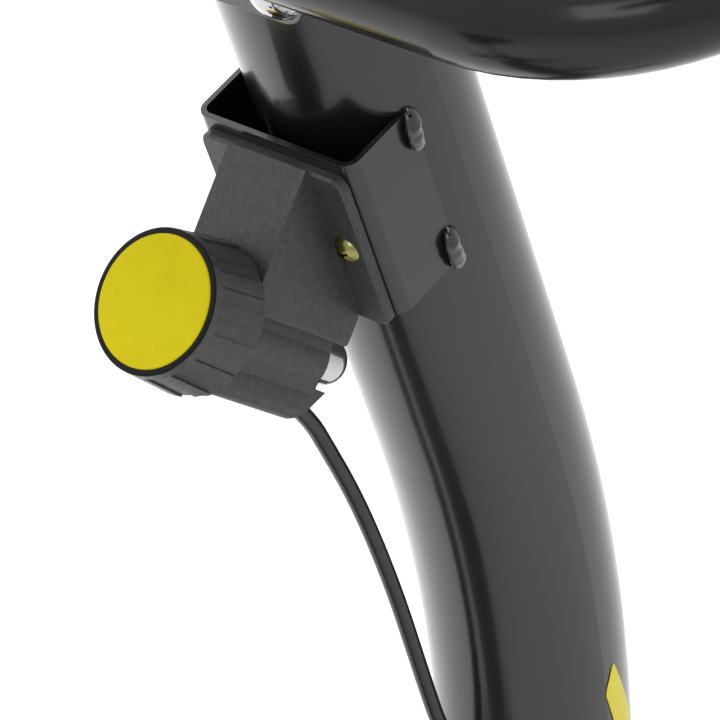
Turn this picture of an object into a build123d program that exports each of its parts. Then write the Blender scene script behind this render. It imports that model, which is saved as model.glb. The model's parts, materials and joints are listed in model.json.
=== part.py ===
"""Upright magnetic exercise bike: welded steel frame, bent handlebar post with a cable tension control,
belt-driven flywheel with a magnet yoke, sliding seat post, saddle, pedals, handlebar and console.

Millimetres. +X is the rider's right, +Y is forward, +Z is up. The rider sits on the -Y side.
The origin is on the floor, under the centre of the bike's outer box.
"""
from build123d import *
from math import acos, atan2, cos, pi, radians, sin, sqrt, tan
import os

# ---------------------------------------------------------------- driving dimensions
FRAME_R = 30.0            # frame tubes and handlebar post, outer radius
WALL = 2.4                # their wall
BEAM_Z = 100.0            # height of the main beam's axis
BEAM_END = 438.0          # half-length of the main beam
STAB_Y = 415.0            # stabilizer bars, forward and back
STAB_Z = 34.0
STAB_R = 25.0
STAB_HALF = 205.0
CAP_R = 31.0              # stabilizer end caps and transport wheels

POST_Y = 310.0            # vertical part of the handlebar post
POST_JOINT_Z = 480.0      # where the post sits on the frame
POST_BEND_Z = 696.0       # where the post starts to bend back towards the rider
POST_BEND_R = 425.7
POST_LEAN = 22.56         # degrees from vertical, towards the rider
POST_STRAIGHT = 109.0     # straight stretch from the bend's end to the tension bracket's middle
POST_TOP = 172.0          # from the bracket's middle to the post's top end

BRACKET_HALF = 28.15      # tension bracket, half width and half height
BRACKET_RISE = 27.7
BRACKET_FACE = 36.0       # from the post's axis to the bracket's outer face
BRACKET_SHEET = 1.7

KNOB_ANGLE = 55.5         # knob axis above the bracket's normal, degrees
KNOB_N = 89.6             # knob's front centre, along the normal and along the post
KNOB_U = 16.7
KNOB_DEPTH = 19.9
KNOB_FRONT_R = 20.0
KNOB_REAR_R = 21.9
DISC_R = 18.3             # the yellow disc in the knob's face
KNOB_PANEL = 4.6          # width and depth of the sunk panels round the knob
KNOB_PANEL_DEPTH = 0.7

BAR_R = 14.3              # handlebar tube
BAR_N = 47.0              # handlebar's middle, along the normal and along the post
BAR_U = 120.6
BAR_STRAIGHT = 104.8      # half of its straight middle stretch
BAR_BEND = 56.5
BAR_RISE = 14.6           # degrees that the forward leg rises
BAR_FORWARD = 115.0
BAR_OUT = 94.0
BAR_TURN_R = 46.0
GRIP_R = 17.0
GRIP_LENGTH = 150.0

CRANK_Y = -40.0
CRANK_Z = 300.0
CRANK_LENGTH = 165.0
CRANK_DROP = radians(-18)  # rest angle of the right crank from forward
CRANK_X = 62.0            # inner face of the crank arms
CRANK_PULLEY_R = 112.0
WHEEL_Y = 130.0
WHEEL_Z = 320.0
WHEEL_R = 105.0
WHEEL_X = (-24.0, 4.0)
SMALL_PULLEY_R = 25.0
BELT_X = (9.0, 23.0)
BELT_GAP = 0.35
BELT_THICK = 4.0
SHROUD_HALF = 56.0
SHROUD_WALL = 2.5
MAGNET_GAP = 3.0
MAGNET_SWING = 2.6        # degrees

SEAT_FOOT_Y = -172.0
SEAT_LEAN = 12.0
SEAT_TUBE_TOP = 430.0     # along the seat tube from its foot
SEAT_POST_R = 24.0
SADDLE_RISE = 690.0       # saddle plate, along the seat tube's axis from its foot
SEAT_UP = 100.0           # travel of the seat post from rest
SEAT_DOWN = 70.0

CABLE_R = 2.5
CABLE_EXIT_Z = 462.0      # where the cable leaves the upright for the drive housing

FLOOR_ALIGN = (Align.CENTER, Align.CENTER, Align.MIN)
RIGHT = Vector(1, 0, 0)
UP = Vector(0, 0, 1)
FORWARD = Vector(0, 1, 0)
parts = {}


# ---------------------------------------------------------------- helpers
def yz(y, z, x=0.0):
    return Vector(x, y, z)


def rod(start, direction, radius, length, bore=0.0):
    """A round bar from start along direction, hollow when bore is given."""
    place = Plane(origin=start, z_dir=direction)
    solid = place * Cylinder(radius, length, align=FLOOR_ALIGN)
    if bore:
        solid -= place * Cylinder(bore, length, align=FLOOR_ALIGN)
    return solid


def rod_x(x0, x1, y, z, radius, bore=0.0):
    return rod(Vector(x0, y, z), RIGHT, radius, x1 - x0, bore)


def block(x0, x1, y0, y1, z0, z1):
    centre = ((x0 + x1) / 2, (y0 + y1) / 2, (z0 + z1) / 2)
    return Pos(*centre) * Box(x1 - x0, y1 - y0, z1 - z0)


def plate_x(x0, x1, sketch):
    """Extrude a sketch drawn in Y and Z from x0 to x1."""
    return extrude(Plane(origin=(x0, 0, 0), x_dir=(0, 1, 0), z_dir=(1, 0, 0)) * sketch, x1 - x0)


def both_sides(solid):
    return [solid, mirror(solid, about=Plane.YZ)]


def ring_of(circles):
    """The convex outline round several circles, each (y, z, radius)."""
    edges = [edge for y, z, r in circles for edge in (Pos(y, z) * Circle(r)).edges()]
    return make_face(make_hull(edges))


def hex_prism(place, across, height):
    return extrude(place * RegularPolygon(across / 2, 6, major_radius=False), height)


def dome(place, radius, height):
    """A shallow dome standing on place."""
    ball_r = (radius * radius + height * height) / (2 * height)
    ball = place * Pos(0, 0, height - ball_r) * Sphere(ball_r)
    return ball & (place * Cylinder(radius, height, align=FLOOR_ALIGN))


def tube_along(path, radius, bore=0.0):
    start = Plane(origin=path @ 0, z_dir=path % 0)
    solid = sweep(start * Circle(radius), path=path)
    if bore:
        solid -= sweep(start * Circle(bore), path=path)
    return solid


def joined(solids):
    solids = list(solids)
    return solids[0].fuse(*solids[1:]).clean() if len(solids) > 1 else solids[0]


def group(solids):
    return Compound(children=[s for s in solids])


# ---------------------------------------------------------------- reference frames
LEAN = radians(POST_LEAN)
NORMAL = Vector(0, -cos(LEAN), -sin(LEAN))
ALONG = Vector(0, -sin(LEAN), cos(LEAN))
BEND_CENTRE = yz(POST_Y - POST_BEND_R, POST_BEND_Z)
BEND_END = BEND_CENTRE + yz(cos(LEAN), sin(LEAN)) * POST_BEND_R
BRACKET_AT = BEND_END + ALONG * POST_STRAIGHT
BRACKET = Plane(origin=BRACKET_AT, x_dir=RIGHT, z_dir=NORMAL)


def at(x, n, u):
    """A point by its place across, out from and along the post at the tension bracket."""
    return BRACKET_AT + RIGHT * x + NORMAL * n + ALONG * u


TILT = radians(KNOB_ANGLE)
KNOB_AXIS = NORMAL * cos(TILT) + ALONG * sin(TILT)
KNOB_AT = at(0, KNOB_N, KNOB_U)
KNOB = Plane(origin=KNOB_AT, x_dir=RIGHT, z_dir=KNOB_AXIS)

YOKE_R = WHEEL_R + MAGNET_GAP + 8     # inner face of the magnet yoke


def around_wheel(radius, angle):
    return WHEEL_Y + radius * cos(radians(angle)), WHEEL_Z + radius * sin(radians(angle))


def yoke_pivot():
    return around_wheel(119, 125)


def swung(y, z):
    """Where a point of the closed yoke lies when the yoke is swung open, as it rests."""
    pivot_y, pivot_z = yoke_pivot()
    turn = radians(MAGNET_SWING)
    dy, dz = y - pivot_y, z - pivot_z
    return Vector(0, pivot_y + dy * cos(turn) - dz * sin(turn), pivot_z + dy * sin(turn) + dz * cos(turn))


YOKE_TIP = around_wheel(YOKE_R + 2, 34)
YOKE_LUG = swung(YOKE_TIP[0] + 7.7, YOKE_TIP[1] - 1.0)
IDLER_BOLT = (128, 208)

SEAT = radians(SEAT_LEAN)
SEAT_AXIS = yz(-sin(SEAT), cos(SEAT))
SEAT_FOOT = yz(SEAT_FOOT_Y, BEAM_Z)
SEAT_PLANE = Plane(origin=SEAT_FOOT, x_dir=RIGHT, z_dir=SEAT_AXIS)


def knob_block(x_half, t0, t1, q0, q1):
    """A box in the knob's frame: t across the axis and upward, q along the axis."""
    return KNOB * Pos(0, (t0 + t1) / 2, (q0 + q1) / 2) * Box(2 * x_half, t1 - t0, q1 - q0)


def bracket_block(x_half, u0, u1, n0, n1):
    return BRACKET * Pos(0, (u0 + u1) / 2, (n0 + n1) / 2) * Box(2 * x_half, u1 - u0, n1 - n0)


# ---------------------------------------------------------------- welded frame
def make_base():
    beam = rod(yz(-BEAM_END, BEAM_Z), FORWARD, FRAME_R, 2 * BEAM_END, FRAME_R - WALL)
    saddles = []
    for side in (-1, 1):
        lift = block(-28, 28, side * STAB_Y - 22, side * STAB_Y + 22, STAB_Z, BEAM_Z)
        lift -= rod_x(-30, 30, side * STAB_Y, STAB_Z, STAB_R)
        lift -= rod(yz(-BEAM_END, BEAM_Z), FORWARD, FRAME_R, 2 * BEAM_END)
        lift -= block(-28, 28, side * STAB_Y - 22, side * STAB_Y + 22, 0, STAB_Z + 12)
        saddles.append(lift)
    bolts = [rod(yz(side * STAB_Y, 0, x), UP, 4.2, 140) for side in (-1, 1) for x in (-20, 20)]
    for hole in bolts:
        beam -= hole
        saddles = [s - hole for s in saddles]
    parts["base_beam"] = joined([beam] + saddles)
    plugs = [
        rod(yz(side * BEAM_END, BEAM_Z), FORWARD * side, FRAME_R, 4)
        + rod(yz(side * (BEAM_END - 14), BEAM_Z), FORWARD * side, FRAME_R - WALL - 0.1, 14)
        for side in (-1, 1)
    ]
    parts["end_caps"] = group(plugs + transport_caps() + [plain_cap(sign) for sign in (-1, 1)])
    seat_tube = SEAT_PLANE * Cylinder(FRAME_R, SEAT_TUBE_TOP, align=FLOOR_ALIGN)
    seat_tube -= SEAT_PLANE * Cylinder(FRAME_R - WALL, SEAT_TUBE_TOP, align=FLOOR_ALIGN)
    seat_tube -= rod(yz(-BEAM_END, BEAM_Z), FORWARD, FRAME_R, 2 * BEAM_END)
    pin_place = SEAT_PLANE * Pos(0, 0, SEAT_TUBE_TOP - 45) * Rot(90, 0, 0)
    seat_tube -= pin_place * Cylinder(6.0, 50, align=FLOOR_ALIGN)
    parts["seat_tube"] = seat_tube
    upright = rod(yz(POST_Y, BEAM_Z), UP, FRAME_R, POST_JOINT_Z - BEAM_Z)
    upright += rod(yz(POST_Y, POST_JOINT_Z), UP, FRAME_R - WALL - 0.1, 90)
    upright -= rod(yz(POST_Y, BEAM_Z), UP, FRAME_R - 2 * WALL - 0.1, POST_JOINT_Z - BEAM_Z + 90)
    upright -= rod(yz(-BEAM_END, BEAM_Z), FORWARD, FRAME_R, 2 * BEAM_END)
    upright -= rod(yz(POST_Y, CABLE_EXIT_Z), -FORWARD, 6.5, 40)
    upright -= group(post_bolt_holes())
    parts["front_upright"] = upright


def post_bolt_holes():
    return [rod(Vector(-40, POST_Y, z), RIGHT, 4.2, 80) for z in (505, 545)]


def make_stabilizers():
    bars = []
    for side in (-1, 1):
        bar = rod_x(-STAB_HALF, STAB_HALF, side * STAB_Y, STAB_Z, STAB_R, STAB_R - 2)
        for x in (-20, 20):
            bar -= rod(yz(side * STAB_Y, 0, x), UP, 4.2, 80)
        bars.append(bar)
    parts["stabilizers"] = group(bars)
    parts["transport_wheel_left"], parts["transport_wheel_right"] = transport_wheels()


def stabilizer_bolts():
    """Carriage bolts that hold the stabilizer bars up to the beam."""
    bolts = []
    for side in (-1, 1):
        for x in (-20, 20):
            y = side * STAB_Y
            bolt = rod(yz(y, 8.6, x), UP, 4.0, 108)
            bolt += rod(yz(y, 3.6, x), UP, 8.0, 5.0)
            bolts.append(bolt - rod_x(-60, 60, y, STAB_Z, STAB_R) + rod(yz(y, 8.6, x), UP, 4.0, 108))
    return bolts


def cap_body(sign, y, length, radius):
    start = Vector(sign * (STAB_HALF - 22), y, STAB_Z)
    body = rod(start, RIGHT * sign, radius, length, STAB_R + 0.05)
    end = Vector(sign * STAB_HALF, y, STAB_Z)
    body += rod(end, RIGHT * sign, radius, length - 22)
    outer = body.edges().filter_by(GeomType.CIRCLE).sort_by(Axis.X)[-1 if sign > 0 else 0]
    return fillet(outer, 4)


def foot(sign, y0, y1, x0, x1):
    """A block under an end cap that stands on the floor."""
    pad = block(*sorted((sign * x0, sign * x1)), y0, y1, 0, 20)
    pad = fillet(pad.edges().filter_by(Axis.Z), 5)
    tube = rod_x(-STAB_HALF - 60, STAB_HALF + 60, (y0 + y1) / 2, STAB_Z, STAB_R + 2)
    return pad - tube


def transport_caps():
    caps = []
    for sign in (-1, 1):
        cap = cap_body(sign, STAB_Y, 44, CAP_R - 2)
        cap += foot(sign, STAB_Y - 24, STAB_Y + 6, STAB_HALF - 20, STAB_HALF + 20)
        end = sign * (STAB_HALF + 22)
        cap -= rod_x(-STAB_HALF, STAB_HALF, STAB_Y, STAB_Z, STAB_R + 0.05)
        cap += rod_x(*sorted((end, end + sign * 22)), STAB_Y, STAB_Z, 6.0)
        cap += rod_x(*sorted((end + sign * 19, end + sign * 22)), STAB_Y, STAB_Z, 9.0)
        caps.append(cap)
    return caps


def transport_wheels():
    x0 = STAB_HALF + 22.6
    wheel = rod_x(x0, x0 + 18, STAB_Y, STAB_Z, CAP_R, 6.07)
    wheel = fillet(wheel.edges().filter_by(GeomType.CIRCLE).group_by(SortBy.RADIUS)[-1], 4)
    wheel -= rod_x(x0 + 15, x0 + 18, STAB_Y, STAB_Z, CAP_R - 8, 14)
    return [mirror(wheel, about=Plane.YZ), wheel]


def plain_cap(sign):
    """A ribbed end cap of the rear stabilizer, with a foot on the floor."""
    cap = cap_body(sign, -STAB_Y, 46, CAP_R)
    x0, x1 = sorted((sign * (STAB_HALF - 23), sign * (STAB_HALF + 25)))
    for turn in range(0, 360, 30):
        groove_y = -STAB_Y + (CAP_R + 1.5) * cos(radians(turn + 15))
        groove_z = STAB_Z + (CAP_R + 1.5) * sin(radians(turn + 15))
        cap -= rod_x(x0, x1, groove_y, groove_z, 3.0)
    cap += foot(sign, -STAB_Y - 20, -STAB_Y + 20, STAB_HALF - 20, STAB_HALF + 22)
    return cap - rod_x(-STAB_HALF, STAB_HALF, -STAB_Y, STAB_Z, STAB_R + 0.05)


# ---------------------------------------------------------------- handlebar post and tension control
def post_path():
    turn = LEAN / 2
    middle = BEND_CENTRE + yz(cos(turn), sin(turn)) * POST_BEND_R
    straight = Line(yz(POST_Y, POST_JOINT_Z), yz(POST_Y, POST_BEND_Z))
    bend = ThreePointArc(straight @ 1, middle, BEND_END)
    rise = Line(BEND_END, at(0, 0, POST_TOP))
    return Wire([straight.edge(), bend.edge(), rise.edge()])


def cable_points():
    """The tension cable from the control's lower lip, down behind the post, through it and to the yoke."""
    free = [(60.3, -50.5), (56.6, -61.0), (54.9, -73.0), (52.4, -91.7), (51.1, -109.9), (50.7, -127.7),
            (50.8, -145.3), (51.5, -162.5), (52.3, -180.3), (52.8, -196.4), (51.5, -213.0)]
    points = [at(0, n, u) for n, u in free]
    inside = [(278.5, 713), (288, 697), (297, 678), (303.5, 655), (307.5, 625), (309.5, 590), (310, 555),
              (309, 521), (306, 493), (297, 473), (283, 463), (266, 461), (252, 455), (242, 443),
              (YOKE_LUG.Y, YOKE_LUG.Z + 32.4)]
    return points + [yz(y, z) for y, z in inside]


def cable_path(points):
    radii = []
    for before, here, after in zip(points, points[1:], points[2:]):
        turn = radians((here - before).get_angle(after - here))
        radii.append(0.45 * min((here - before).length, (after - here).length) / tan(turn / 2))
    print("cable radii", [round(r) for r in radii])
    return FilletPolyline(*points, radius=radii)


def make_post():
    post = tube_along(post_path(), FRAME_R, FRAME_R - WALL)
    post -= group(post_bolt_holes())
    entry = yz(279.5, 712)
    slot = Plane(origin=entry, x_dir=RIGHT, z_dir=-FORWARD)
    post -= extrude(slot * Pos(0, 0, -8) * SlotOverall(40, 13, rotation=90), 16)
    parts["handlebar_post"] = post
    cable = tube_along(cable_path(cable_points()), CABLE_R)
    parts["tension_cable"] = cable
    rubber = extrude(slot * Pos(0, 0, -5) * SlotOverall(39.6, 12.6, rotation=90), 10)
    rubber -= tube_along(post_path(), FRAME_R - WALL - 1.5)
    rubber -= tube_along(Wire([Line(at(0, 51.8, -206), yz(293, 686)).edge()]), CABLE_R + 0.6)
    lower = [p for p in cable_points()[9:15]]
    rubber -= tube_along(Polyline(*lower), CABLE_R + 0.5)
    parts["cable_grommet"] = rubber.solids().sort_by(SortBy.VOLUME)[-1]
    bolts = []
    for z in (505, 545):
        for sign in (-1, 1):
            seat = Vector(sign * FRAME_R, POST_Y, z)
            bolts.append(rod(seat + RIGHT * sign * 0.3, RIGHT * sign, 7.0, 2.0)
                         + rod(Vector(sign * 18, POST_Y, z), RIGHT * sign, 3.9, 16)
                         + dome(Plane(origin=seat + RIGHT * sign * 2.3, z_dir=RIGHT * sign), 6.5, 4.5))
    parts["frame_bolts"] = group(bolts + stabilizer_bolts())
    sleeve = rod(yz(POST_Y, POST_JOINT_Z - 34), UP, FRAME_R + 5, 150, FRAME_R + 0.3)
    sleeve -= rod(yz(POST_Y, CABLE_EXIT_Z), -FORWARD, 6.5, 60)
    sleeve -= group(rod(Vector(-50, POST_Y, z), RIGHT, 10, 100) for z in (505, 545))
    ends = sleeve.edges().filter_by(GeomType.CIRCLE).group_by(Axis.Z)[-1].sort_by(SortBy.RADIUS)[-1]
    parts["post_sleeve_cover"] = fillet(ends, 3.5)


def bent_sheet(half, rise, face, sheet, root_n):
    """A U of sheet steel: a flat face and two side plates that reach back to the post."""
    outer = bracket_block(half, -rise, rise, root_n, face)
    corners = outer.edges().filter_by(Axis(BRACKET_AT, ALONG)).sort_by(SortBy.DISTANCE)
    far = [e for e in corners if (e.center() - BRACKET_AT).dot(NORMAL) > face - 1]
    outer = fillet(far, 4.5)
    inner = bracket_block(half - sheet, -rise - 1, rise + 1, root_n - 1, face - sheet)
    near = [e for e in inner.edges().filter_by(Axis(BRACKET_AT, ALONG))
            if (e.center() - BRACKET_AT).dot(NORMAL) > face - sheet - 1]
    return outer - fillet(near, 4.5 - sheet)


def post_core(low, high, radius=FRAME_R):
    return BRACKET * Pos(0, low, 0) * Rot(-90, 0, 0) * Cylinder(radius, high - low, align=FLOOR_ALIGN)


def make_bracket():
    sheet = bent_sheet(BRACKET_HALF, BRACKET_RISE, BRACKET_FACE, BRACKET_SHEET, 5.0)
    sheet -= post_core(-60, 60)
    window = BRACKET * Pos(0, -6, 30) * Box(26, 30, 20)
    sheet -= window
    for x in (-19.2, 19.2):
        sheet -= BRACKET * Pos(x, -2.4, 25) * Cylinder(2.0, 30, align=FLOOR_ALIGN)
    parts["tension_bracket"] = sheet


def make_controller():
    flange = BRACKET * Pos(0, -3.15, 37.5) * Box(51.2, 54.3, 3.0)
    flange = fillet(flange.edges().filter_by(Axis(BRACKET_AT, NORMAL)), 4)
    flange = chamfer(flange.faces().sort_by(Axis(BRACKET_AT, NORMAL))[-1].edges(), 0.8)
    front = bracket_block(60, -90, 90, 38.9, 200)
    body = knob_block(14.0, 6.0, 60, -67.4, -22.2) & front
    body = fillet([e for e in body.edges().filter_by(Axis(KNOB_AT, KNOB_AXIS))], 1.2)
    body += flange
    barrel = knob_block(9.5, -9.5, 7.0, -67.0, -KNOB_DEPTH - 0.4)
    barrel += KNOB * Pos(0, -1.0, -67.0) * Cylinder(10.5, 67.0 - KNOB_DEPTH - 0.4, align=FLOOR_ALIGN)
    body += barrel
    lip = knob_block(5.5, -18.5, -8.0, -77.5, -30.0)
    lip = fillet([e for e in lip.edges().filter_by(Axis(KNOB_AT, KNOB_AXIS))
                  if (e.center() - KNOB_AT).dot(KNOB.y_dir) < -15], 4.5)
    flare = knob_block(7.6, -19.5, -8.0, -30.0, -21.5)
    flare = fillet([e for e in flare.edges().filter_by(Axis(KNOB_AT, KNOB_AXIS))
                    if (e.center() - KNOB_AT).dot(KNOB.y_dir) < -15], 5.5)
    body += lip + flare
    slant = KNOB * Pos(0, -13, -86.0) * Rot(-38, 0, 0) * Box(30, 40, 20)
    body -= slant
    bore = KNOB * Pos(0, 0, -66.0) * Cylinder(7.0, 40.0, align=FLOOR_ALIGN)
    body -= bore
    body -= KNOB * Pos(0, 0, -80.0) * Cylinder(3.06, 80, align=FLOOR_ALIGN)
    body -= knob_block(2.6, -16.5, -4.0, -66.0, -26.0)
    body -= tube_along(Polyline(at(0, 64.6, -38.5), *cable_points()[:3]), CABLE_R)
    for x in (-19.2, 19.2):
        body -= BRACKET * Pos(x, -2.4, 30) * Cylinder(2.15, 30, align=FLOOR_ALIGN)
    parts["controller_housing"] = body.solids().sort_by(SortBy.VOLUME)[-1]

    screws = []
    for x in (-19.2, 19.2):
        place = BRACKET * Pos(x, -2.4, 39.0)
        seat = Plane(place)
        head = dome(seat, 4.1, 2.6)
        for turn in (20, 110):
            head -= seat * Pos(0, 0, 1.0) * Rot(0, 0, turn) * Box(4.4, 0.9, 4, align=FLOOR_ALIGN)
        shank = BRACKET * Pos(x, -2.4, 31.0) * Cylinder(1.95, 8.0, align=FLOOR_ALIGN)
        screws.append(head + shank)
    parts["controller_screws"] = group(screws)


def make_knob():
    grip = KNOB * Pos(0, 0, -KNOB_DEPTH / 2) * Cone(KNOB_REAR_R, KNOB_FRONT_R, KNOB_DEPTH)
    rims = grip.edges().filter_by(GeomType.CIRCLE)
    grip = fillet(rims, 0.6)
    taper = -atan2(KNOB_REAR_R - KNOB_FRONT_R, KNOB_DEPTH) * 180 / pi
    for turn in range(0, 360, 24):
        surface = KNOB * Rot(0, 0, turn) * Pos(KNOB_FRONT_R, 0, 0) * Rot(0, taper, 0)
        grip -= surface * Pos(1.5 - KNOB_PANEL_DEPTH, 0, -16.4) * Box(3.0, KNOB_PANEL, 27)
    grip -= KNOB * Pos(0, 0, -1.2) * Cylinder(DISC_R, 1.2, align=FLOOR_ALIGN)
    grip -= KNOB * Pos(0, 0, -KNOB_DEPTH) * Cylinder(3.0, 14, align=FLOOR_ALIGN)
    parts["knob_grip"] = grip
    disc = KNOB * Pos(0, 0, -1.2) * Cylinder(DISC_R - 0.02, 1.5, align=FLOOR_ALIGN)
    disc_rim = disc.edges().filter_by(GeomType.CIRCLE).sort_by(Axis(KNOB_AT, KNOB_AXIS))[-1]
    parts["knob_disc"] = fillet(disc_rim, 0.5)
    spindle = Cylinder(3.0, 74.0 - KNOB_DEPTH + 14, align=FLOOR_ALIGN)
    parts["knob_spindle"] = KNOB * Pos(0, 0, -74.0) * spindle
    cap = KNOB * Pos(0, 0, -77.2) * Cylinder(7.35, 7.7, align=FLOOR_ALIGN)
    cap += dome(Plane(KNOB * Pos(0, 0, -77.2) * Rot(180, 0, 0)), 7.35, 7.2)
    cap -= KNOB * Pos(0, 0, -74.0) * Cylinder(3.0, 20, align=FLOOR_ALIGN)
    parts["spindle_dome_cap"] = cap
    rest_q = -36.0
    nut = KNOB * Pos(0, 0, rest_q) * Cylinder(6.6, 9.0, align=FLOOR_ALIGN)
    nut += knob_block(2.2, -15.5, -4.5, rest_q, rest_q + 6)
    nut -= KNOB * Pos(0, 0, rest_q - 1) * Cylinder(3.06, 20, align=FLOOR_ALIGN)
    parts["cable_slider_nut"] = nut


# ---------------------------------------------------------------- handlebar
def bar_points():
    middle = at(0, BAR_N, BAR_U)
    rise = radians(BAR_RISE)
    corner = middle + RIGHT * (BAR_STRAIGHT + BAR_BEND)
    front = corner + yz(cos(rise), sin(rise)) * BAR_FORWARD
    outer = front + Vector(BAR_OUT, 0, 20)
    grip_end = outer + Vector(0, -267, 88)
    return middle, corner, front, outer, grip_end


def half_bar():
    middle, corner, front, outer, grip_end = bar_points()
    bends = [BAR_BEND, BAR_TURN_R, BAR_TURN_R - 1]
    path = FilletPolyline(middle, corner, front, outer, grip_end, radius=bends)
    return path


def make_handlebar():
    path = half_bar()
    right = tube_along(path, BAR_R, BAR_R - 2.0)
    bar = right + mirror(right, about=Plane.YZ)
    parts["handlebar"] = bar
    outer, grip_end = bar_points()[3:]
    back = (outer - grip_end).normalized()
    grip = rod(grip_end - back * 5, back, GRIP_R, GRIP_LENGTH + 5)
    grip = fillet(grip.edges().filter_by(GeomType.CIRCLE), 3.0)
    grip -= rod(grip_end, back, BAR_R, GRIP_LENGTH + 10)
    parts["foam_grips"] = group(both_sides(grip))
    shell = rod(grip_end + back * (GRIP_LENGTH + 6), back, BAR_R + 1.6, 50, BAR_R)
    gap = Plane(origin=grip_end + back * (GRIP_LENGTH + 31), x_dir=RIGHT, z_dir=back) * Box(5, 60, 60)
    parts["pulse_sensors"] = group(half for part in (shell - gap).solids() for half in both_sides(part))


def make_clamp():
    seat = bracket_block(29.0, 78, 163, 5, 32.4)
    upright = seat.edges().filter_by(Axis(BRACKET_AT, ALONG))
    far = [edge for edge in upright if (edge.center() - BRACKET_AT).dot(NORMAL) > 30]
    seat = fillet(far, 4)
    hollow = bracket_block(27.0, 77, 164, 4, 30.2)
    seat -= hollow
    seat -= post_core(60, 175)
    bolts = []
    places = [(x, u) for x in (-20.4, 20.4) for u in (85.5, 155.7)]
    for x, u in places:
        seat -= BRACKET * Pos(x, u, 20) * Cylinder(4.1, 20, align=FLOOR_ALIGN)
    parts["handlebar_seat"] = seat
    strap = bracket_block(30.2, 75.7, 165.5, 32.4, 34.9)
    strap = fillet(strap.edges().filter_by(Axis(BRACKET_AT, NORMAL)), 9.8)
    hoop_place = BRACKET * Pos(-30.2, BAR_U, BAR_N) * Rot(0, 90, 0)
    strap += hoop_place * Cylinder(BAR_R + 2.6, 60.4, align=FLOOR_ALIGN)
    strap += bracket_block(30.2, BAR_U - BAR_R - 2.6, BAR_U + BAR_R + 2.6, 32.4, BAR_N)
    strap -= hoop_place * Cylinder(BAR_R + 0.05, 60.4, align=FLOOR_ALIGN)
    strap -= bracket_block(31, BAR_U - BAR_R - 0.05, BAR_U + BAR_R + 0.05, 30, BAR_N)
    for x, u in places:
        strap -= BRACKET * Pos(x, u, 20) * Cylinder(4.1, 20, align=FLOOR_ALIGN)
        top = Plane(BRACKET * Pos(x, u, 34.9))
        shank = BRACKET * Pos(x, u, 27.2) * Cylinder(3.95, 8.3, align=FLOOR_ALIGN)
        bolts.append(dome(top, 8.5, 4.6) + shank)
    parts["handlebar_strap"] = strap
    parts["strap_bolts"] = group(bolts)


# ---------------------------------------------------------------- console
CONSOLE = Plane(origin=at(0, 4, POST_TOP + 52), x_dir=RIGHT, z_dir=yz(-cos(radians(38)), sin(radians(38))))


def make_console():
    rear = extrude(CONSOLE * Pos(0, 0, -26) * RectangleRounded(170, 112, 22), 24)
    rear -= extrude(CONSOLE * Pos(0, 0, -23) * RectangleRounded(164, 106, 19), 24)
    rear = fillet(rear.faces().sort_by(Axis(CONSOLE.origin, CONSOLE.z_dir))[0].outer_wire().edges(), 2.5)
    parts["console_rear_shell"] = rear
    front = extrude(CONSOLE * Pos(0, 0, -2) * RectangleRounded(172, 114, 23), 9)
    front = fillet(front.faces().sort_by(Axis(CONSOLE.origin, CONSOLE.z_dir))[-1].outer_wire().edges(), 4)
    front -= extrude(CONSOLE * Pos(0, 18, 5) * RectangleRounded(116, 52, 6), 8)
    front -= extrude(CONSOLE * Pos(0, 18, -3) * RectangleRounded(108, 44, 3), 20)
    front -= CONSOLE * Pos(0, -32, -4) * Cylinder(12.3, 20, align=FLOOR_ALIGN)
    parts["console_bezel"] = front
    parts["console_lens"] = extrude(CONSOLE * Pos(0, 18, 5) * RectangleRounded(115.8, 51.8, 6), 1.8)
    display = extrude(CONSOLE * Pos(0, 18, -9) * RectangleRounded(107.6, 43.6, 3), 13)
    board = extrude(CONSOLE * Pos(0, 0, -10) * RectangleRounded(140, 90, 4), 1.6)
    parts["console_display"] = display + board
    key = CONSOLE * Pos(0, -32, -4) * Cylinder(12.0, 13.0, align=FLOOR_ALIGN)
    key_rims = key.edges().filter_by(GeomType.CIRCLE).sort_by(Axis(CONSOLE.origin, CONSOLE.z_dir))
    key = fillet(key_rims[-1], 1.5)
    parts["console_button"] = key
    cap = BRACKET * Pos(0, POST_TOP, 0) * Rot(-90, 0, 0) * Cylinder(FRAME_R, 4, align=FLOOR_ALIGN)
    spigot = BRACKET * Pos(0, POST_TOP - 12, 0) * Rot(-90, 0, 0)
    cap += spigot * Cylinder(FRAME_R - WALL - 0.1, 12, align=FLOOR_ALIGN)
    back = CONSOLE * Pos(0, -8, -28) * Box(60, 60, 4)
    riser = Line(at(0, 0, POST_TOP + 2), CONSOLE.origin - CONSOLE.z_dir * 29 - CONSOLE.y_dir * 20)
    strut = sweep(Plane(origin=riser @ 0, x_dir=RIGHT, z_dir=riser % 0) * Rectangle(34, 16), path=riser)
    strut -= CONSOLE * Pos(0, 0, -26) * Box(200, 200, 60, align=FLOOR_ALIGN)
    strut -= BRACKET * Pos(0, POST_TOP + 1, 0) * Rot(90, 0, 0) * Cylinder(60, 40, align=FLOOR_ALIGN)
    parts["console_bracket"] = joined([cap, back, strut])


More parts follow.
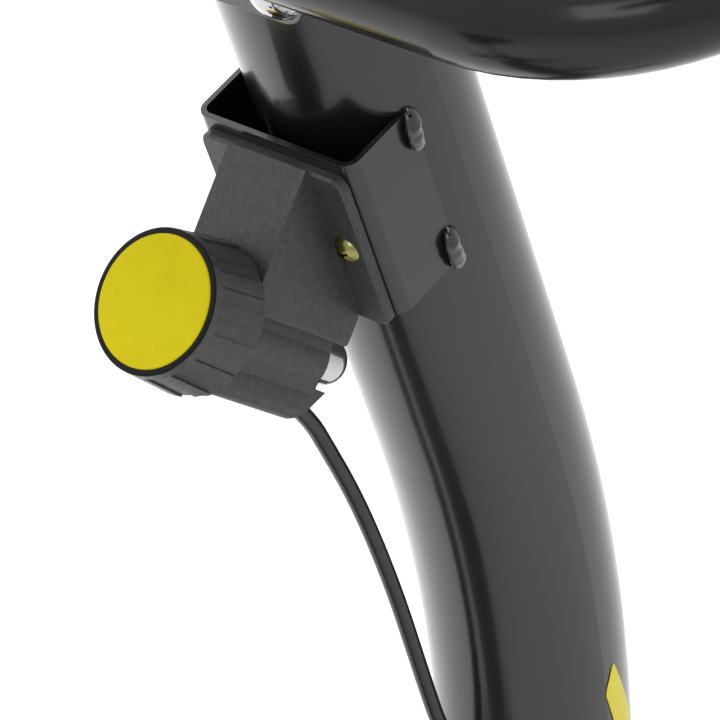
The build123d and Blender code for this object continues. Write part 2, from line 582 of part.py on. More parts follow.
# ---------------------------------------------------------------- drive
def make_crank():
    shell = rod_x(-46, 4, CRANK_Y, CRANK_Z, 22)
    strut = block(-26, -4, CRANK_Y - 25, CRANK_Y + 25, BEAM_Z + 12, CRANK_Z)
    strut -= block(-23, -7, CRANK_Y - 20, CRANK_Y + 20, BEAM_Z, CRANK_Z)
    strut -= rod(yz(-BEAM_END, BEAM_Z), FORWARD, FRAME_R, 2 * BEAM_END)
    shell = shell + strut - rod_x(-46, 4, CRANK_Y, CRANK_Z, 17.5)
    housing = shell.solids().sort_by(SortBy.VOLUME)[-1]
    parts["drive_mounts"] = group([housing, idler_arm()] + make_fork())
    bearings = [rod_x(x, x + 10, CRANK_Y, CRANK_Z, 17.5, 8.55) for x in (-46, -6)]
    bearings += [rod_x(x, x + 8, WHEEL_Y, WHEEL_Z, 13, 5.0) for x in (WHEEL_X[0], WHEEL_X[1] - 8)]
    parts["bearings"] = group(bearings)
    nuts = []
    for sign in (-1, 1):
        nuts.append(rod(Vector(sign * (CRANK_X + 16), CRANK_Y, CRANK_Z), RIGHT * sign, 12.0, 4.0))
    parts["crank_axle"] = group([rod_x(-CRANK_X - 16, CRANK_X + 16, CRANK_Y, CRANK_Z, 8.5)] + nuts)
    pulley = rod_x(BELT_X[0] - 1, BELT_X[1] + 1, CRANK_Y, CRANK_Z, CRANK_PULLEY_R, 8.5)
    dish = rod_x(BELT_X[0] + 4, BELT_X[1] + 1, CRANK_Y, CRANK_Z, CRANK_PULLEY_R - 8, 22)
    pulley -= dish
    for turn in range(0, 360, 60):
        y = CRANK_Y + 62 * cos(radians(turn))
        z = CRANK_Z + 62 * sin(radians(turn))
        pulley -= rod_x(0, 40, y, z, 20)
    parts["crank_pulley"] = pulley
    sides = (("right", 1, 0.0), ("left", -1, pi))
    parts["crank_arms"] = group(crank_arm(sign, turn) for name, sign, turn in sides)
    parts["pedal_spindles"] = group(pedal_spindle(sign, turn) for name, sign, turn in sides)
    for name, sign, turn in sides:
        make_pedal(name, sign, turn)


def crank_end(turn):
    angle = CRANK_DROP + turn
    return CRANK_Y + CRANK_LENGTH * cos(angle), CRANK_Z + CRANK_LENGTH * sin(angle)


def crank_arm(sign, turn):
    y, z = crank_end(turn)
    third_y = CRANK_Y + (y - CRANK_Y) * 0.3
    third_z = CRANK_Z + (z - CRANK_Z) * 0.3
    outline = ring_of([(CRANK_Y, CRANK_Z, 18), (third_y, third_z, 12)])
    outline += ring_of([(third_y, third_z, 12), (y, z, 13)])
    x0, x1 = sorted((sign * CRANK_X, sign * (CRANK_X + 14)))
    arm = plate_x(x0, x1, outline)
    arm = fillet(arm.faces().sort_by(Axis.X)[-1 if sign > 0 else 0].edges(), 2.5)
    arm += rod_x(*sorted((sign * CRANK_X, sign * (CRANK_X + 16))), CRANK_Y, CRANK_Z, 16)
    arm -= rod_x(-120, 120, CRANK_Y, CRANK_Z, 8.5)
    arm -= rod_x(-120, 120, y, z, 7.0)
    return arm


def pedal_spindle(sign, turn):
    y, z = crank_end(turn)
    spindle = rod(Vector(sign * CRANK_X, y, z), RIGHT * sign, 7.0, 18.0)
    spindle += rod(Vector(sign * (CRANK_X + 14), y, z), RIGHT * sign, 8.5, 5.0)
    return spindle + rod(Vector(sign * (CRANK_X + 18), y, z), RIGHT * sign, 4.5, 92.0)


def make_pedal(name, sign, turn):
    y, z = crank_end(turn)
    mid_x = sign * (CRANK_X + 24 + 46)
    body = Pos(mid_x, y, z) * Box(92, 92, 24)
    body = fillet(body.edges().filter_by(Axis.Z), 12)
    body = fillet(body.faces().sort_by(Axis.Z)[-1].edges() + body.faces().sort_by(Axis.Z)[0].edges(), 2)
    for dy in (-34, -23, 23, 34):
        body -= Pos(mid_x, y + dy, z) * Box(62, 6, 30)
    body -= rod(Vector(sign * (CRANK_X + 20), y, z), RIGHT * sign, 4.56, 93.0)
    body -= rod(Vector(sign * (CRANK_X + 12), y, z), RIGHT * sign, 9.0, 14.0)
    for dx in (-43.5, 43.5):
        body -= Pos(mid_x + dx, y + 0, z) * Box(2.4, 34, 30)
    parts[f"pedal_{name}"] = body
    inner = Pos(mid_x, y, z) * Rot(90, 0, 0) * strap_sketch(0.0)
    outer = Pos(mid_x, y, z) * Rot(90, 0, 0) * strap_sketch(1.8)
    strap = extrude(outer - inner, 15, both=True)
    strap -= Pos(mid_x, y, z) * Box(84.6, 60, 26)
    parts[f"pedal_strap_{name}"] = strap.solids().sort_by(SortBy.VOLUME)[-1]


def strap_sketch(grow):
    """The strap's loop: down through the pedal's two slots and over the foot."""
    half = 42.6 + grow
    low = 5.6
    profile = Polyline((-half, low), (-half, 26), (-30 - grow / 2, 58 + grow), (30 + grow / 2, 58 + grow),
                       (half, 26), (half, low), close=True)
    face = make_face(profile)
    return fillet([v for v in face.vertices() if v.Y > 20], 16 + grow)


def make_wheel():
    x0, x1 = WHEEL_X
    wheel = rod_x(x0, x1, WHEEL_Y, WHEEL_Z, WHEEL_R)
    for a, b in ((x0, x0 + 9), (x1 - 9, x1)):
        wheel -= rod_x(a, b, WHEEL_Y, WHEEL_Z, WHEEL_R - 24, 24)
    wheel -= rod_x(x0, x1, WHEEL_Y, WHEEL_Z, 13.06)
    wheel = chamfer(wheel.edges().filter_by(GeomType.CIRCLE).group_by(SortBy.RADIUS)[-1], 1.5)
    pulley = rod_x(BELT_X[0] - 1, BELT_X[1] + 1, WHEEL_Y, WHEEL_Z, SMALL_PULLEY_R, 6.0)
    pulley += rod_x(x1, BELT_X[0] - 1, WHEEL_Y, WHEEL_Z, 18, 14)
    parts["flywheel"] = group([wheel, pulley])
    pivot_y, pivot_z = yoke_pivot()
    pivot_pin = rod_x(-38, 26, pivot_y, pivot_z, 5.0) + rod_x(23.5, 26, pivot_y, pivot_z, 9.5)
    axles = [rod_x(-46, 46, WHEEL_Y, WHEEL_Z, 5.0), pivot_pin]
    nuts = [
        hex_prism(Plane(origin=(sign * 34, WHEEL_Y, WHEEL_Z), z_dir=RIGHT * sign), 17, 8)
        - rod_x(-46, 46, WHEEL_Y, WHEEL_Z, 5.0) for sign in (-1, 1)
    ]
    bolt = rod_x(24.5, 38, IDLER_BOLT[0], IDLER_BOLT[1], 4.0)
    bolt += hex_prism(Plane(origin=(34, *IDLER_BOLT), z_dir=RIGHT), 13, 5)
    bolt += rod_x(28.5, 30, IDLER_BOLT[0], IDLER_BOLT[1], 7.0)
    parts["drive_axles"] = group(axles + nuts + [bolt])


def make_fork():
    """The two plates that carry the flywheel's axle, with ears for the yoke's pivot and the cable stop."""
    left = ring_of([(WHEEL_Y - 25, BEAM_Z, 5), (WHEEL_Y + 25, BEAM_Z, 5), (WHEEL_Y, WHEEL_Z, 22)])
    pivot_y, pivot_z = yoke_pivot()
    ear = ring_of([(WHEEL_Y, WHEEL_Z, 20), (pivot_y, pivot_z, 12)])
    ear += ring_of([(WHEEL_Y, WHEEL_Z, 20), (YOKE_LUG.Y - 2, YOKE_LUG.Z + 14, 10)])
    axle_hole = Pos(WHEEL_Y, WHEEL_Z) * Circle(5.0)
    right = left + ring_of([(WHEEL_Y, WHEEL_Z - 60, 20), (*IDLER_BOLT, 12)])
    fork = plate_x(-34, -30, left + ear - axle_hole)
    fork -= rod_x(-40, 0, pivot_y, pivot_z, 5.0)
    fork_right = plate_x(30, 34, right - axle_hole)
    fork_right -= rod_x(20, 60, IDLER_BOLT[0], IDLER_BOLT[1], 4.0)
    stop_at = YOKE_LUG + UP * 11
    stop = block(-30, 6, stop_at.Y - 6, stop_at.Y + 6, stop_at.Z, stop_at.Z + 4)
    stop += rod(stop_at, UP, 4.5, 20)
    stop -= rod(stop_at - UP, UP, 1.7, 30)
    return [joined([fork, stop]), fork_right]


def make_yoke():
    y, z = yoke_pivot()
    sector_points = [(0, 0)]
    for degrees in (34, 60, 90, 120, 125):
        sector_points.append((200 * cos(radians(degrees)), 200 * sin(radians(degrees))))
    sector = Pos(WHEEL_Y, WHEEL_Z) * make_face(Polyline(*sector_points, close=True))
    band = (Pos(WHEEL_Y, WHEEL_Z) * (Circle(YOKE_R + 3.5) - Circle(YOKE_R))) & sector
    arm = plate_x(-27, 7, band)
    arm += plate_x(-27, 7, Pos(y, z) * Circle(9))
    swing = Axis((0, y, z), (1, 0, 0))
    lug = ring_of([(*YOKE_TIP, 2.2), (YOKE_TIP[0] + 7.7, YOKE_TIP[1] - 1.0, 5.5)])
    arm += plate_x(-12, 12, lug)
    arm -= rod_x(-40, 20, y, z, 5.06)
    arm = arm.rotate(swing, MAGNET_SWING)
    wire = rod(YOKE_LUG, UP, 0.8, 23)
    barrel = rod(YOKE_LUG - RIGHT * 4, RIGHT, 2.6, 8)
    arm -= barrel + rod(YOKE_LUG, UP, 0.8, 30)
    parts["magnet_yoke"] = arm
    parts["inner_wire_end"] = wire + barrel
    magnet_solids = []
    for turn in (45, 62, 79, 96, 113):
        place = Pos(0, WHEEL_Y, WHEEL_Z) * Rot(turn, 0, 0) * Pos(-10, YOKE_R - 3.6, 0)
        magnet_solids.append(place * Box(26, 6.0, 24) & rod_x(-40, 20, WHEEL_Y, WHEEL_Z, YOKE_R))
    parts["yoke_magnets"] = group(m.rotate(swing, MAGNET_SWING) for m in magnet_solids)
    coil = Helix(pitch=2.4, height=9.6, radius=8.0, center=(12, y, z), direction=(1, 0, 0))
    coil_start = Plane(origin=coil @ 0, z_dir=coil % 0)
    parts["yoke_spring"] = sweep(coil_start * Circle(0.9), path=coil)


def idler_place():
    gap_y, gap_z = WHEEL_Y - CRANK_Y, WHEEL_Z - CRANK_Z
    span = sqrt(gap_y ** 2 + gap_z ** 2)
    tangent = atan2(gap_z, gap_y) - acos((CRANK_PULLEY_R - SMALL_PULLEY_R) / span)
    normal = Vector(cos(tangent), sin(tangent), 0)
    big = Vector(CRANK_Y, CRANK_Z, 0) + normal * CRANK_PULLEY_R
    small = Vector(WHEEL_Y, WHEEL_Z, 0) + normal * SMALL_PULLEY_R
    middle = (big + small) * 0.5 + normal * (BELT_GAP + BELT_THICK + 0.35 + 14.0)
    return middle.X, middle.Y


def make_belt():
    """The belt, and the idler wheel that its lower span runs over."""
    inner = ring_of([
        (CRANK_Y, CRANK_Z, CRANK_PULLEY_R + BELT_GAP),
        (WHEEL_Y, WHEEL_Z, SMALL_PULLEY_R + BELT_GAP),
    ])
    grow = BELT_GAP + BELT_THICK
    outer = ring_of([(CRANK_Y, CRANK_Z, CRANK_PULLEY_R + grow), (WHEEL_Y, WHEEL_Z, SMALL_PULLEY_R + grow)])
    parts["drive_belt"] = plate_x(BELT_X[0], BELT_X[1], outer - inner)
    y, z = idler_place()
    parts["idler_wheel"] = rod_x(9.5, 22.5, y, z, 14.0, 4.06)


def idler_arm():
    y, z = idler_place()
    arm = plate_x(24.5, 28.5, ring_of([(y, z, 9), (*IDLER_BOLT, 10)]))
    arm += rod_x(8.5, 24.5, y, z, 4.0)
    arm -= rod_x(20, 40, IDLER_BOLT[0], IDLER_BOLT[1], 4.0)
    return arm


def shroud_sketch(shrink=0.0):
    return ring_of([(CRANK_Y, CRANK_Z, 135 - shrink), (225, 425, 45 - shrink), (215, 185, 50 - shrink),
                    (-95, 185, 50 - shrink)])


def shroud_half(sign):
    x0, x1 = sorted((0.2 * sign, sign * SHROUD_HALF))
    shell = plate_x(x0, x1, shroud_sketch())
    side = shell.faces().sort_by(Axis.X)[-1 if sign > 0 else 0]
    shell = fillet(side.outer_wire().edges(), 16)
    i0, i1 = sorted((0.0, sign * (SHROUD_HALF - SHROUD_WALL)))
    inner = plate_x(i0, i1, shroud_sketch(SHROUD_WALL))
    side = inner.faces().sort_by(Axis.X)[-1 if sign > 0 else 0]
    inner = fillet(side.outer_wire().edges(), 13.5)
    shell -= inner
    shell += rod_x(*sorted((sign * (SHROUD_HALF - 1), sign * (SHROUD_HALF + 3))), CRANK_Y, CRANK_Z, 34)
    shell -= rod_x(-80, 80, CRANK_Y, CRANK_Z, 20)
    shell -= block(-40, 40, -80, 180, 120, 160)
    shell -= tube_along(Polyline(*cable_points()[-5:-1]), CABLE_R + 2)
    return shell


def make_shroud():
    parts["shroud_left"] = shroud_half(-1)
    parts["shroud_right"] = shroud_half(1)
    spots = ((-140, 215), (-125, 385), (60, 425), (235, 440), (240, 180))
    screws = []
    for y, z in spots:
        screws.append(dome(Plane(origin=(SHROUD_HALF, y, z), z_dir=RIGHT), 4.5, 2.4))
    parts["shroud_screws"] = group(screws)


# ---------------------------------------------------------------- seat
def seat_place(x=0.0, forward=0.0, rise=0.0):
    return SEAT_PLANE * Pos(x, forward, rise)


SADDLE_BASE = SEAT_FOOT + SEAT_AXIS * SADDLE_RISE


def make_seat():
    sleeve = seat_place(rise=SEAT_TUBE_TOP - 110) * Cylinder(FRAME_R - WALL, 110, align=FLOOR_ALIGN)
    sleeve += seat_place(rise=SEAT_TUBE_TOP) * Cylinder(FRAME_R + 5, 14, align=FLOOR_ALIGN)
    sleeve = fillet(sleeve.edges().filter_by(GeomType.CIRCLE).sort_by(Axis(SEAT_FOOT, SEAT_AXIS))[-1], 4)
    sleeve -= seat_place(rise=SEAT_TUBE_TOP - 120) * Cylinder(SEAT_POST_R + 0.06, 150, align=FLOOR_ALIGN)
    pin_at = SEAT_TUBE_TOP - 45
    sleeve -= seat_place(rise=pin_at) * Rot(90, 0, 0) * Cylinder(6.0, 50, align=FLOOR_ALIGN)
    parts["seat_tube_sleeve"] = sleeve
    low = SEAT_TUBE_TOP - 210
    post = seat_place(rise=low) * Cylinder(SEAT_POST_R, SADDLE_RISE - low, align=FLOOR_ALIGN)
    post -= seat_place(rise=low) * Cylinder(SEAT_POST_R - 2, SADDLE_RISE - low - 3, align=FLOOR_ALIGN)
    slot_low = pin_at - SEAT_UP - 4.3
    slot_high = pin_at + SEAT_DOWN + 4.3
    slot = seat_place(rise=(slot_low + slot_high) / 2) * Rot(90, 0, 0)
    post -= extrude(slot * SlotOverall(slot_high - slot_low, 8.6, rotation=90), 50)
    tilt_back = Pos(*SADDLE_BASE) * Box(84, 110, 4, align=FLOOR_ALIGN)
    wedge = block(-20, 20, SADDLE_BASE.Y - 34, SADDLE_BASE.Y + 34, SADDLE_BASE.Z - 22, SADDLE_BASE.Z)
    post = post + wedge + tilt_back
    post -= Pos(SADDLE_BASE.X, SADDLE_BASE.Y, SADDLE_BASE.Z + 4) * Box(200, 200, 60, align=FLOOR_ALIGN)
    for x, y in saddle_stud_places():
        post -= rod(Vector(x, y, SADDLE_BASE.Z - 60), UP, 4.2, 80)
    parts["seat_post"] = post
    stem = seat_place(rise=pin_at) * Rot(90, 0, 0)
    pin = stem * Pos(0, 0, 19.0) * Cylinder(4.2, 62, align=FLOOR_ALIGN)
    parts["seat_pin"] = pin
    barrel = stem * Pos(0, 0, FRAME_R - 1.0) * Cylinder(11, 20, align=FLOOR_ALIGN)
    barrel -= stem * Cylinder(6.0, 46, align=FLOOR_ALIGN)
    barrel += (stem * Pos(0, 0, FRAME_R + 15) * Cylinder(7, 4, align=FLOOR_ALIGN))
    barrel -= stem * Cylinder(4.26, 80, align=FLOOR_ALIGN)
    barrel -= seat_place(rise=pin_at - 40) * Cylinder(FRAME_R, 80, align=FLOOR_ALIGN)
    parts["seat_tube"] += barrel.solids().sort_by(SortBy.VOLUME)[-1]
    knob = stem * Pos(0, 0, FRAME_R + 21) * Cylinder(19, 22, align=FLOOR_ALIGN)
    knob = fillet(knob.edges().filter_by(GeomType.CIRCLE), 3)
    for turn in range(0, 360, 45):
        knob -= stem * Rot(0, 0, turn) * Pos(22, 0, FRAME_R + 20) * Cylinder(6, 24, align=FLOOR_ALIGN)
    knob -= stem * Cylinder(4.2, 81, align=FLOOR_ALIGN)
    parts["seat_pin_knob"] = knob


def saddle_stud_places():
    y = SADDLE_BASE.Y
    return [(0, y + 44), (-30, y - 42), (30, y - 42)]


def saddle_outline(shrink=0.0):
    """Comfort saddle seen from above: a wide tail and a rounded nose."""
    y = SADDLE_BASE.Y
    side = [(0, y - 128 + shrink), (86 - shrink * 0.6, y - 116 + shrink * 0.8), (121 - shrink, y - 56),
            (86 - shrink, y + 16), (46 - shrink * 0.9, y + 70), (31 - shrink * 0.8, y + 118 - shrink * 0.5),
            (0, y + 142 - shrink)]
    right = Spline(*side, tangents=[(1, 0), (-1, 0)])
    left = mirror(right, about=Plane.YZ)
    return make_face(Wire([right.edge(), left.edge()]))


def make_saddle():
    z = SADDLE_BASE.Z + 4.3
    pan = extrude(Pos(0, 0, z) * saddle_outline(12), 12)
    for x, y in saddle_stud_places():
        pan -= rod(Vector(x, y, z), UP, 4.0, 8)
    parts["saddle_pan"] = pan
    layers = ((12.3, 4), (20, 0), (44, 0), (56, 8), (62, 22))
    sections = [Pos(0, 0, z + rise) * saddle_outline(shrink) for rise, shrink in layers]
    parts["saddle_cushion"] = loft(sections, ruled=True)
    studs = []
    for x, y in saddle_stud_places():
        stud = rod(Vector(x, y, z - 22), UP, 4.0, 30)
        stud += hex_prism(Plane(origin=(x, y, z - 11.0), z_dir=UP), 13, 6.7)
        studs.append(stud)
    parts["saddle_nuts"] = group(studs)


make_base()
make_stabilizers()
make_post()
make_bracket()
make_controller()
make_knob()
make_handlebar()
make_clamp()
make_console()
make_crank()
make_wheel()
make_yoke()
make_belt()
make_shroud()
make_seat()
make_saddle()

os.makedirs("parts", exist_ok=True)
for name, shape in parts.items():
    export_step(shape, f"parts/{name}.step")
print(len(parts), "nodes")
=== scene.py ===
import bmesh
import bpy
import json
import math
import random
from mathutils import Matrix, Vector, noise


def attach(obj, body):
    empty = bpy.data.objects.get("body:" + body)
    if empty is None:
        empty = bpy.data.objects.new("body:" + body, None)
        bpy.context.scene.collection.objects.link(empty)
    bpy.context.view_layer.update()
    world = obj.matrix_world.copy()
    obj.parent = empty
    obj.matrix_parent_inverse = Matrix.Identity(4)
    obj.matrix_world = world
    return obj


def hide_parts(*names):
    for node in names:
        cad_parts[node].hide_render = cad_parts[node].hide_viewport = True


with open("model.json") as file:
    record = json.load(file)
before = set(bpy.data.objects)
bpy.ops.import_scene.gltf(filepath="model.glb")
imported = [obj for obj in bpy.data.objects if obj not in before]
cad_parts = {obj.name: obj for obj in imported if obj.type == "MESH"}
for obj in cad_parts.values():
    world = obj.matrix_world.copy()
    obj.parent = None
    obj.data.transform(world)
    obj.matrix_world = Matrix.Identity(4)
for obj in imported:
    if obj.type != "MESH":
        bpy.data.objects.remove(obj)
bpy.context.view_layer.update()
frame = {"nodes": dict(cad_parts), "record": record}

NODES = frame["nodes"]
MM = 0.001

# ---------------------------------------------------------------- places shared with the CAD
X_AXIS = Vector((1, 0, 0))
Z_AXIS = Vector((0, 0, 1))
LEAN = math.radians(22.56)
POST_R = 0.030
BEND_R = 0.4257
BEND_Y = -0.1157        # centre of the post's bend
BEND_Z = 0.696
NORMAL = Vector((0, -math.cos(LEAN), -math.sin(LEAN)))
ALONG = Vector((0, -math.sin(LEAN), math.cos(LEAN)))
BEND_END = Vector((0, BEND_Y + BEND_R * math.cos(LEAN), BEND_Z + BEND_R * math.sin(LEAN)))
BRACKET_AT = BEND_END + ALONG * 0.109
KNOB_TILT = math.radians(55.5)
KNOB_AXIS = NORMAL * math.cos(KNOB_TILT) + ALONG * math.sin(KNOB_TILT)
SEAT_LEAN = math.radians(12)
SEAT_AXIS = Vector((0, -math.sin(SEAT_LEAN), math.cos(SEAT_LEAN)))
BEAM_Z = 0.100
SEAT_TUBE_FOOT = Vector((0, -0.172, BEAM_Z))
UPRIGHT_FOOT = Vector((0, 0.310, BEAM_Z))
SADDLE_BASE = Vector((0, -0.31546, 0.77492))


def at(x, n, u):
    """A point in millimetres across, out from and along the post, seen from the tension bracket's middle."""
    return BRACKET_AT + Vector((x * MM, 0, 0)) + NORMAL * (n * MM) + ALONG * (u * MM)


KNOB_FACE = at(0, 89.6, 16.7)


# ---------------------------------------------------------------- camera
camera_data = bpy.data.cameras.new("photo_camera")
camera = bpy.data.objects.new("photo_camera", camera_data)
bpy.context.scene.collection.objects.link(camera)
camera.location = (0.6961, -0.5529, 1.4286)
camera.rotation_euler = Vector((-0.5925, 0.6641, -0.4560)).to_track_quat("-Z", "Y").to_euler()
camera_data.sensor_width = 36.0
camera_data.lens = 210.4
camera_data.clip_start = 0.02
camera_data.clip_end = 50.0
bpy.context.scene.camera = camera


# ---------------------------------------------------------------- materials
def new_material(name, base, rough, metal=0.0, coat=0.0, coat_rough=0.06, **extra):
    mat = bpy.data.materials.new(name)
    mat.use_nodes = True
    shader = mat.node_tree.nodes["Principled BSDF"]
    shader.inputs["Base Color"].default_value = (*base, 1.0)
    shader.inputs["Roughness"].default_value = rough
    shader.inputs["Metallic"].default_value = metal
    shader.inputs["Coat Weight"].default_value = coat
    shader.inputs["Coat Roughness"].default_value = coat_rough
    for key, value in extra.items():
        shader.inputs[key.replace("_", " ")].default_value = value
    mat.diffuse_color = (*base, 1.0)
    return mat


def add(mat, kind, **values):
    node = mat.node_tree.nodes.new(kind)
    for key, value in values.items():
        setattr(node, key, value)
    return node


def link(mat, source, target):
    mat.node_tree.links.new(source, target)


def coords(mat, stretch=(1, 1, 1)):
    place = add(mat, "ShaderNodeTexCoord")
    mapping = add(mat, "ShaderNodeMapping")
    mapping.inputs["Scale"].default_value = stretch
    link(mat, place.outputs["Object"], mapping.inputs["Vector"])
    return mapping.outputs["Vector"]


def noise_of(mat, scale, detail=4.0, rough=0.55, stretch=(1, 1, 1)):
    tex = add(mat, "ShaderNodeTexNoise")
    tex.inputs["Scale"].default_value = scale
    tex.inputs["Detail"].default_value = detail
    tex.inputs["Roughness"].default_value = rough
    link(mat, coords(mat, stretch), tex.inputs["Vector"])
    return tex.outputs["Fac"]


def ramp(mat, value, stops):
    node = add(mat, "ShaderNodeValToRGB")
    while len(node.color_ramp.elements) < len(stops):
        node.color_ramp.elements.new(0.5)
    for element, (place, colour) in zip(node.color_ramp.elements, stops):
        element.position = place
        element.color = (*colour, 1.0)
    link(mat, value, node.inputs["Fac"])
    return node.outputs["Color"]


def vary(mat, scale, low, high, rough_low, rough_high, detail=5.0):
    """Colour and roughness that drift a little over the surface."""
    shader = mat.node_tree.nodes["Principled BSDF"]
    value = noise_of(mat, scale, detail, 0.6)
    link(mat, ramp(mat, value, [(0.3, low), (0.7, high)]), shader.inputs["Base Color"])
    spread = add(mat, "ShaderNodeMapRange")
    spread.inputs["From Min"].default_value = 0.3
    spread.inputs["From Max"].default_value = 0.7
    spread.inputs["To Min"].default_value = rough_low
    spread.inputs["To Max"].default_value = rough_high
    link(mat, noise_of(mat, scale * 2.3, detail, 0.6), spread.inputs["Value"])
    link(mat, spread.outputs["Result"], shader.inputs["Roughness"])


def bump(mat, height, strength, depth):
    node = add(mat, "ShaderNodeBump")
    node.inputs["Strength"].default_value = strength
    node.inputs["Distance"].default_value = depth
    shader = mat.node_tree.nodes["Principled BSDF"]
    if shader.inputs["Normal"].links:
        link(mat, shader.inputs["Normal"].links[0].from_socket, node.inputs["Normal"])
    link(mat, height, node.inputs["Height"])
    link(mat, node.outputs["Normal"], shader.inputs["Normal"])


def voronoi(mat, scale, feature="F1"):
    tex = add(mat, "ShaderNodeTexVoronoi", feature=feature)
    tex.inputs["Scale"].default_value = scale
    link(mat, coords(mat), tex.inputs["Vector"])
    return tex.outputs["Distance"]


def grey(value):
    return (value, value, value)


def enamel(name, low, high, rough_low, rough_high, coat):
    """Sprayed gloss black: faint orange peel under a clear top coat."""
    mat = new_material(name, low, rough_low, coat=coat, coat_rough=0.07)
    vary(mat, 9, low, high, rough_low, rough_high)
    bump(mat, noise_of(mat, 240, 2.0), 0.05, 0.0004)
    bump(mat, noise_of(mat, 1300, 1.0), 0.02, 0.0002)
    return mat


def moulded(name, low, high, rough_low, rough_high, grain=1500, depth=0.14, speckle=90):
    """Injection-moulded plastic with a fine spark-eroded grain."""
    mat = new_material(name, low, rough_low)
    vary(mat, speckle, low, high, rough_low, rough_high, detail=8.0)
    bump(mat, noise_of(mat, grain, 3.0, 0.7), depth, 0.0003)
    bump(mat, noise_of(mat, 70, 3.0), 0.05, 0.001)
    return mat


def metal(name, low, high, rough_low, rough_high, stretch=(1, 1, 1), scale=300, depth=0.08):
    mat = new_material(name, low, rough_low, metal=1.0)
    vary(mat, 40, low, high, rough_low, rough_high)
    bump(mat, noise_of(mat, scale, 4.0, 0.6, stretch), depth, 0.0002)
    return mat


MATERIALS = {
    "post": enamel("gloss_black_post", grey(0.0060), grey(0.0085), 0.20, 0.26, 0.42),
    "bar": enamel("gloss_black_bar", grey(0.0045), grey(0.0070), 0.17, 0.23, 0.12),
    "frame": enamel("black_powder_coat", grey(0.0090), grey(0.0130), 0.28, 0.36, 0.30),
    "housing": moulded("housing_plastic", (0.026, 0.027, 0.029), (0.050, 0.051, 0.053), 0.40, 0.58, 900, 0.45, 420),
    "knob": moulded("knob_plastic", (0.029, 0.030, 0.031), (0.055, 0.056, 0.057), 0.34, 0.52, 900, 0.40, 420),
    "plastic": moulded("black_plastic", grey(0.024), grey(0.034), 0.45, 0.60),
    "shroud": moulded("shroud_plastic", grey(0.016), grey(0.022), 0.28, 0.38, 1100, 0.20),
    "accent": moulded("yellow_accent", (0.72, 0.62, 0.010), (0.80, 0.70, 0.016), 0.35, 0.45, 900, 0.04),
    "disc": moulded("yellow_disc", (0.60, 0.505, 0.0010), (0.65, 0.55, 0.0016), 0.46, 0.56, 900, 0.05),
    "chrome": metal("chrome", grey(0.54), grey(0.62), 0.04, 0.09, scale=60, depth=0.02),
    "steel": metal("zinc_plated_steel", grey(0.50), grey(0.62), 0.26, 0.40),
    "zinc": metal("yellow_zinc", (0.36, 0.32, 0.09), (0.26, 0.29, 0.13), 0.20, 0.32, scale=500),
    "iron": metal("machined_iron", grey(0.20), grey(0.30), 0.32, 0.46, (1, 6, 6), 90, 0.20),
    "nickel": metal("nickel_plate", grey(0.55), grey(0.62), 0.14, 0.24),
    "stainless": metal("brushed_stainless", grey(0.58), grey(0.66), 0.24, 0.34, (1, 0.1, 1), 900, 0.12),
    "rubber": moulded("black_rubber", grey(0.018), grey(0.028), 0.60, 0.78, 900, 0.18),
    "jacket": moulded("cable_jacket", grey(0.006), grey(0.010), 0.24, 0.32, 700, 0.05),
}


def belt_material():
    mat = moulded("ribbed_belt", grey(0.014), grey(0.022), 0.55, 0.70)
    wave = add(mat, "ShaderNodeTexWave", wave_type="BANDS", bands_direction="X")
    wave.inputs["Scale"].default_value = 420
    link(mat, coords(mat), wave.inputs["Vector"])
    bump(mat, wave.outputs["Fac"], 0.5, 0.0006)
    return mat


def foam_material():
    """Closed-cell foam: open pores over a soft mottled skin."""
    mat = new_material("grip_foam", grey(0.022), 0.85, Sheen_Weight=0.35, Sheen_Roughness=0.5)
    vary(mat, 130, grey(0.018), grey(0.034), 0.78, 0.92)
    bump(mat, voronoi(mat, 1100), 0.45, 0.0005)
    bump(mat, noise_of(mat, 260, 4.0), 0.25, 0.0006)
    return mat


def leather_material():
    """Synthetic leather: a cell grain with finer creases between the cells."""
    mat = new_material("saddle_leather", grey(0.020), 0.42, coat=0.10, coat_rough=0.3)
    vary(mat, 26, grey(0.016), grey(0.027), 0.38, 0.52)
    bump(mat, voronoi(mat, 520, "DISTANCE_TO_EDGE"), 0.30, 0.0006)
    bump(mat, noise_of(mat, 1500, 3.0), 0.12, 0.0003)
    return mat


def lens_material():
    mat = new_material("display_window", (0.30, 0.32, 0.32), 0.03, Transmission_Weight=1.0, IOR=1.46)
    vary(mat, 20, (0.34, 0.36, 0.36), (0.38, 0.40, 0.40), 0.02, 0.05)
    return mat


def dull(finish, level):
    """Less mirror-like reflection than the shader's own."""
    MATERIALS[finish].node_tree.nodes["Principled BSDF"].inputs["Specular IOR Level"].default_value = level


MATERIALS["belt"] = belt_material()
MATERIALS["foam"] = foam_material()
MATERIALS["leather"] = leather_material()
MATERIALS["lens"] = lens_material()
MATERIALS["lcd"] = moulded("display_glass", (0.30, 0.35, 0.26), (0.34, 0.39, 0.30), 0.25, 0.32, 2500, 0.02)
MATERIALS["weld"] = enamel("gloss_black_weld", grey(0.0060), grey(0.0085), 0.10, 0.14, 0.9)
MATERIALS["segment"] = moulded("display_segment", grey(0.014), grey(0.020), 0.35, 0.45, 2500, 0.02)
MATERIALS["knob_rim"] = moulded("knob_rim_plastic", grey(0.0040), grey(0.0065), 0.30, 0.40, 900, 0.10)
MATERIALS["thread"] = moulded("seam_thread", (0.60, 0.51, 0.012), (0.70, 0.60, 0.02), 0.55, 0.70, 2400, 0.3)
dull("disc", 0.10)
dull("bar", 0.38)
dull("knob_rim", 0.12)

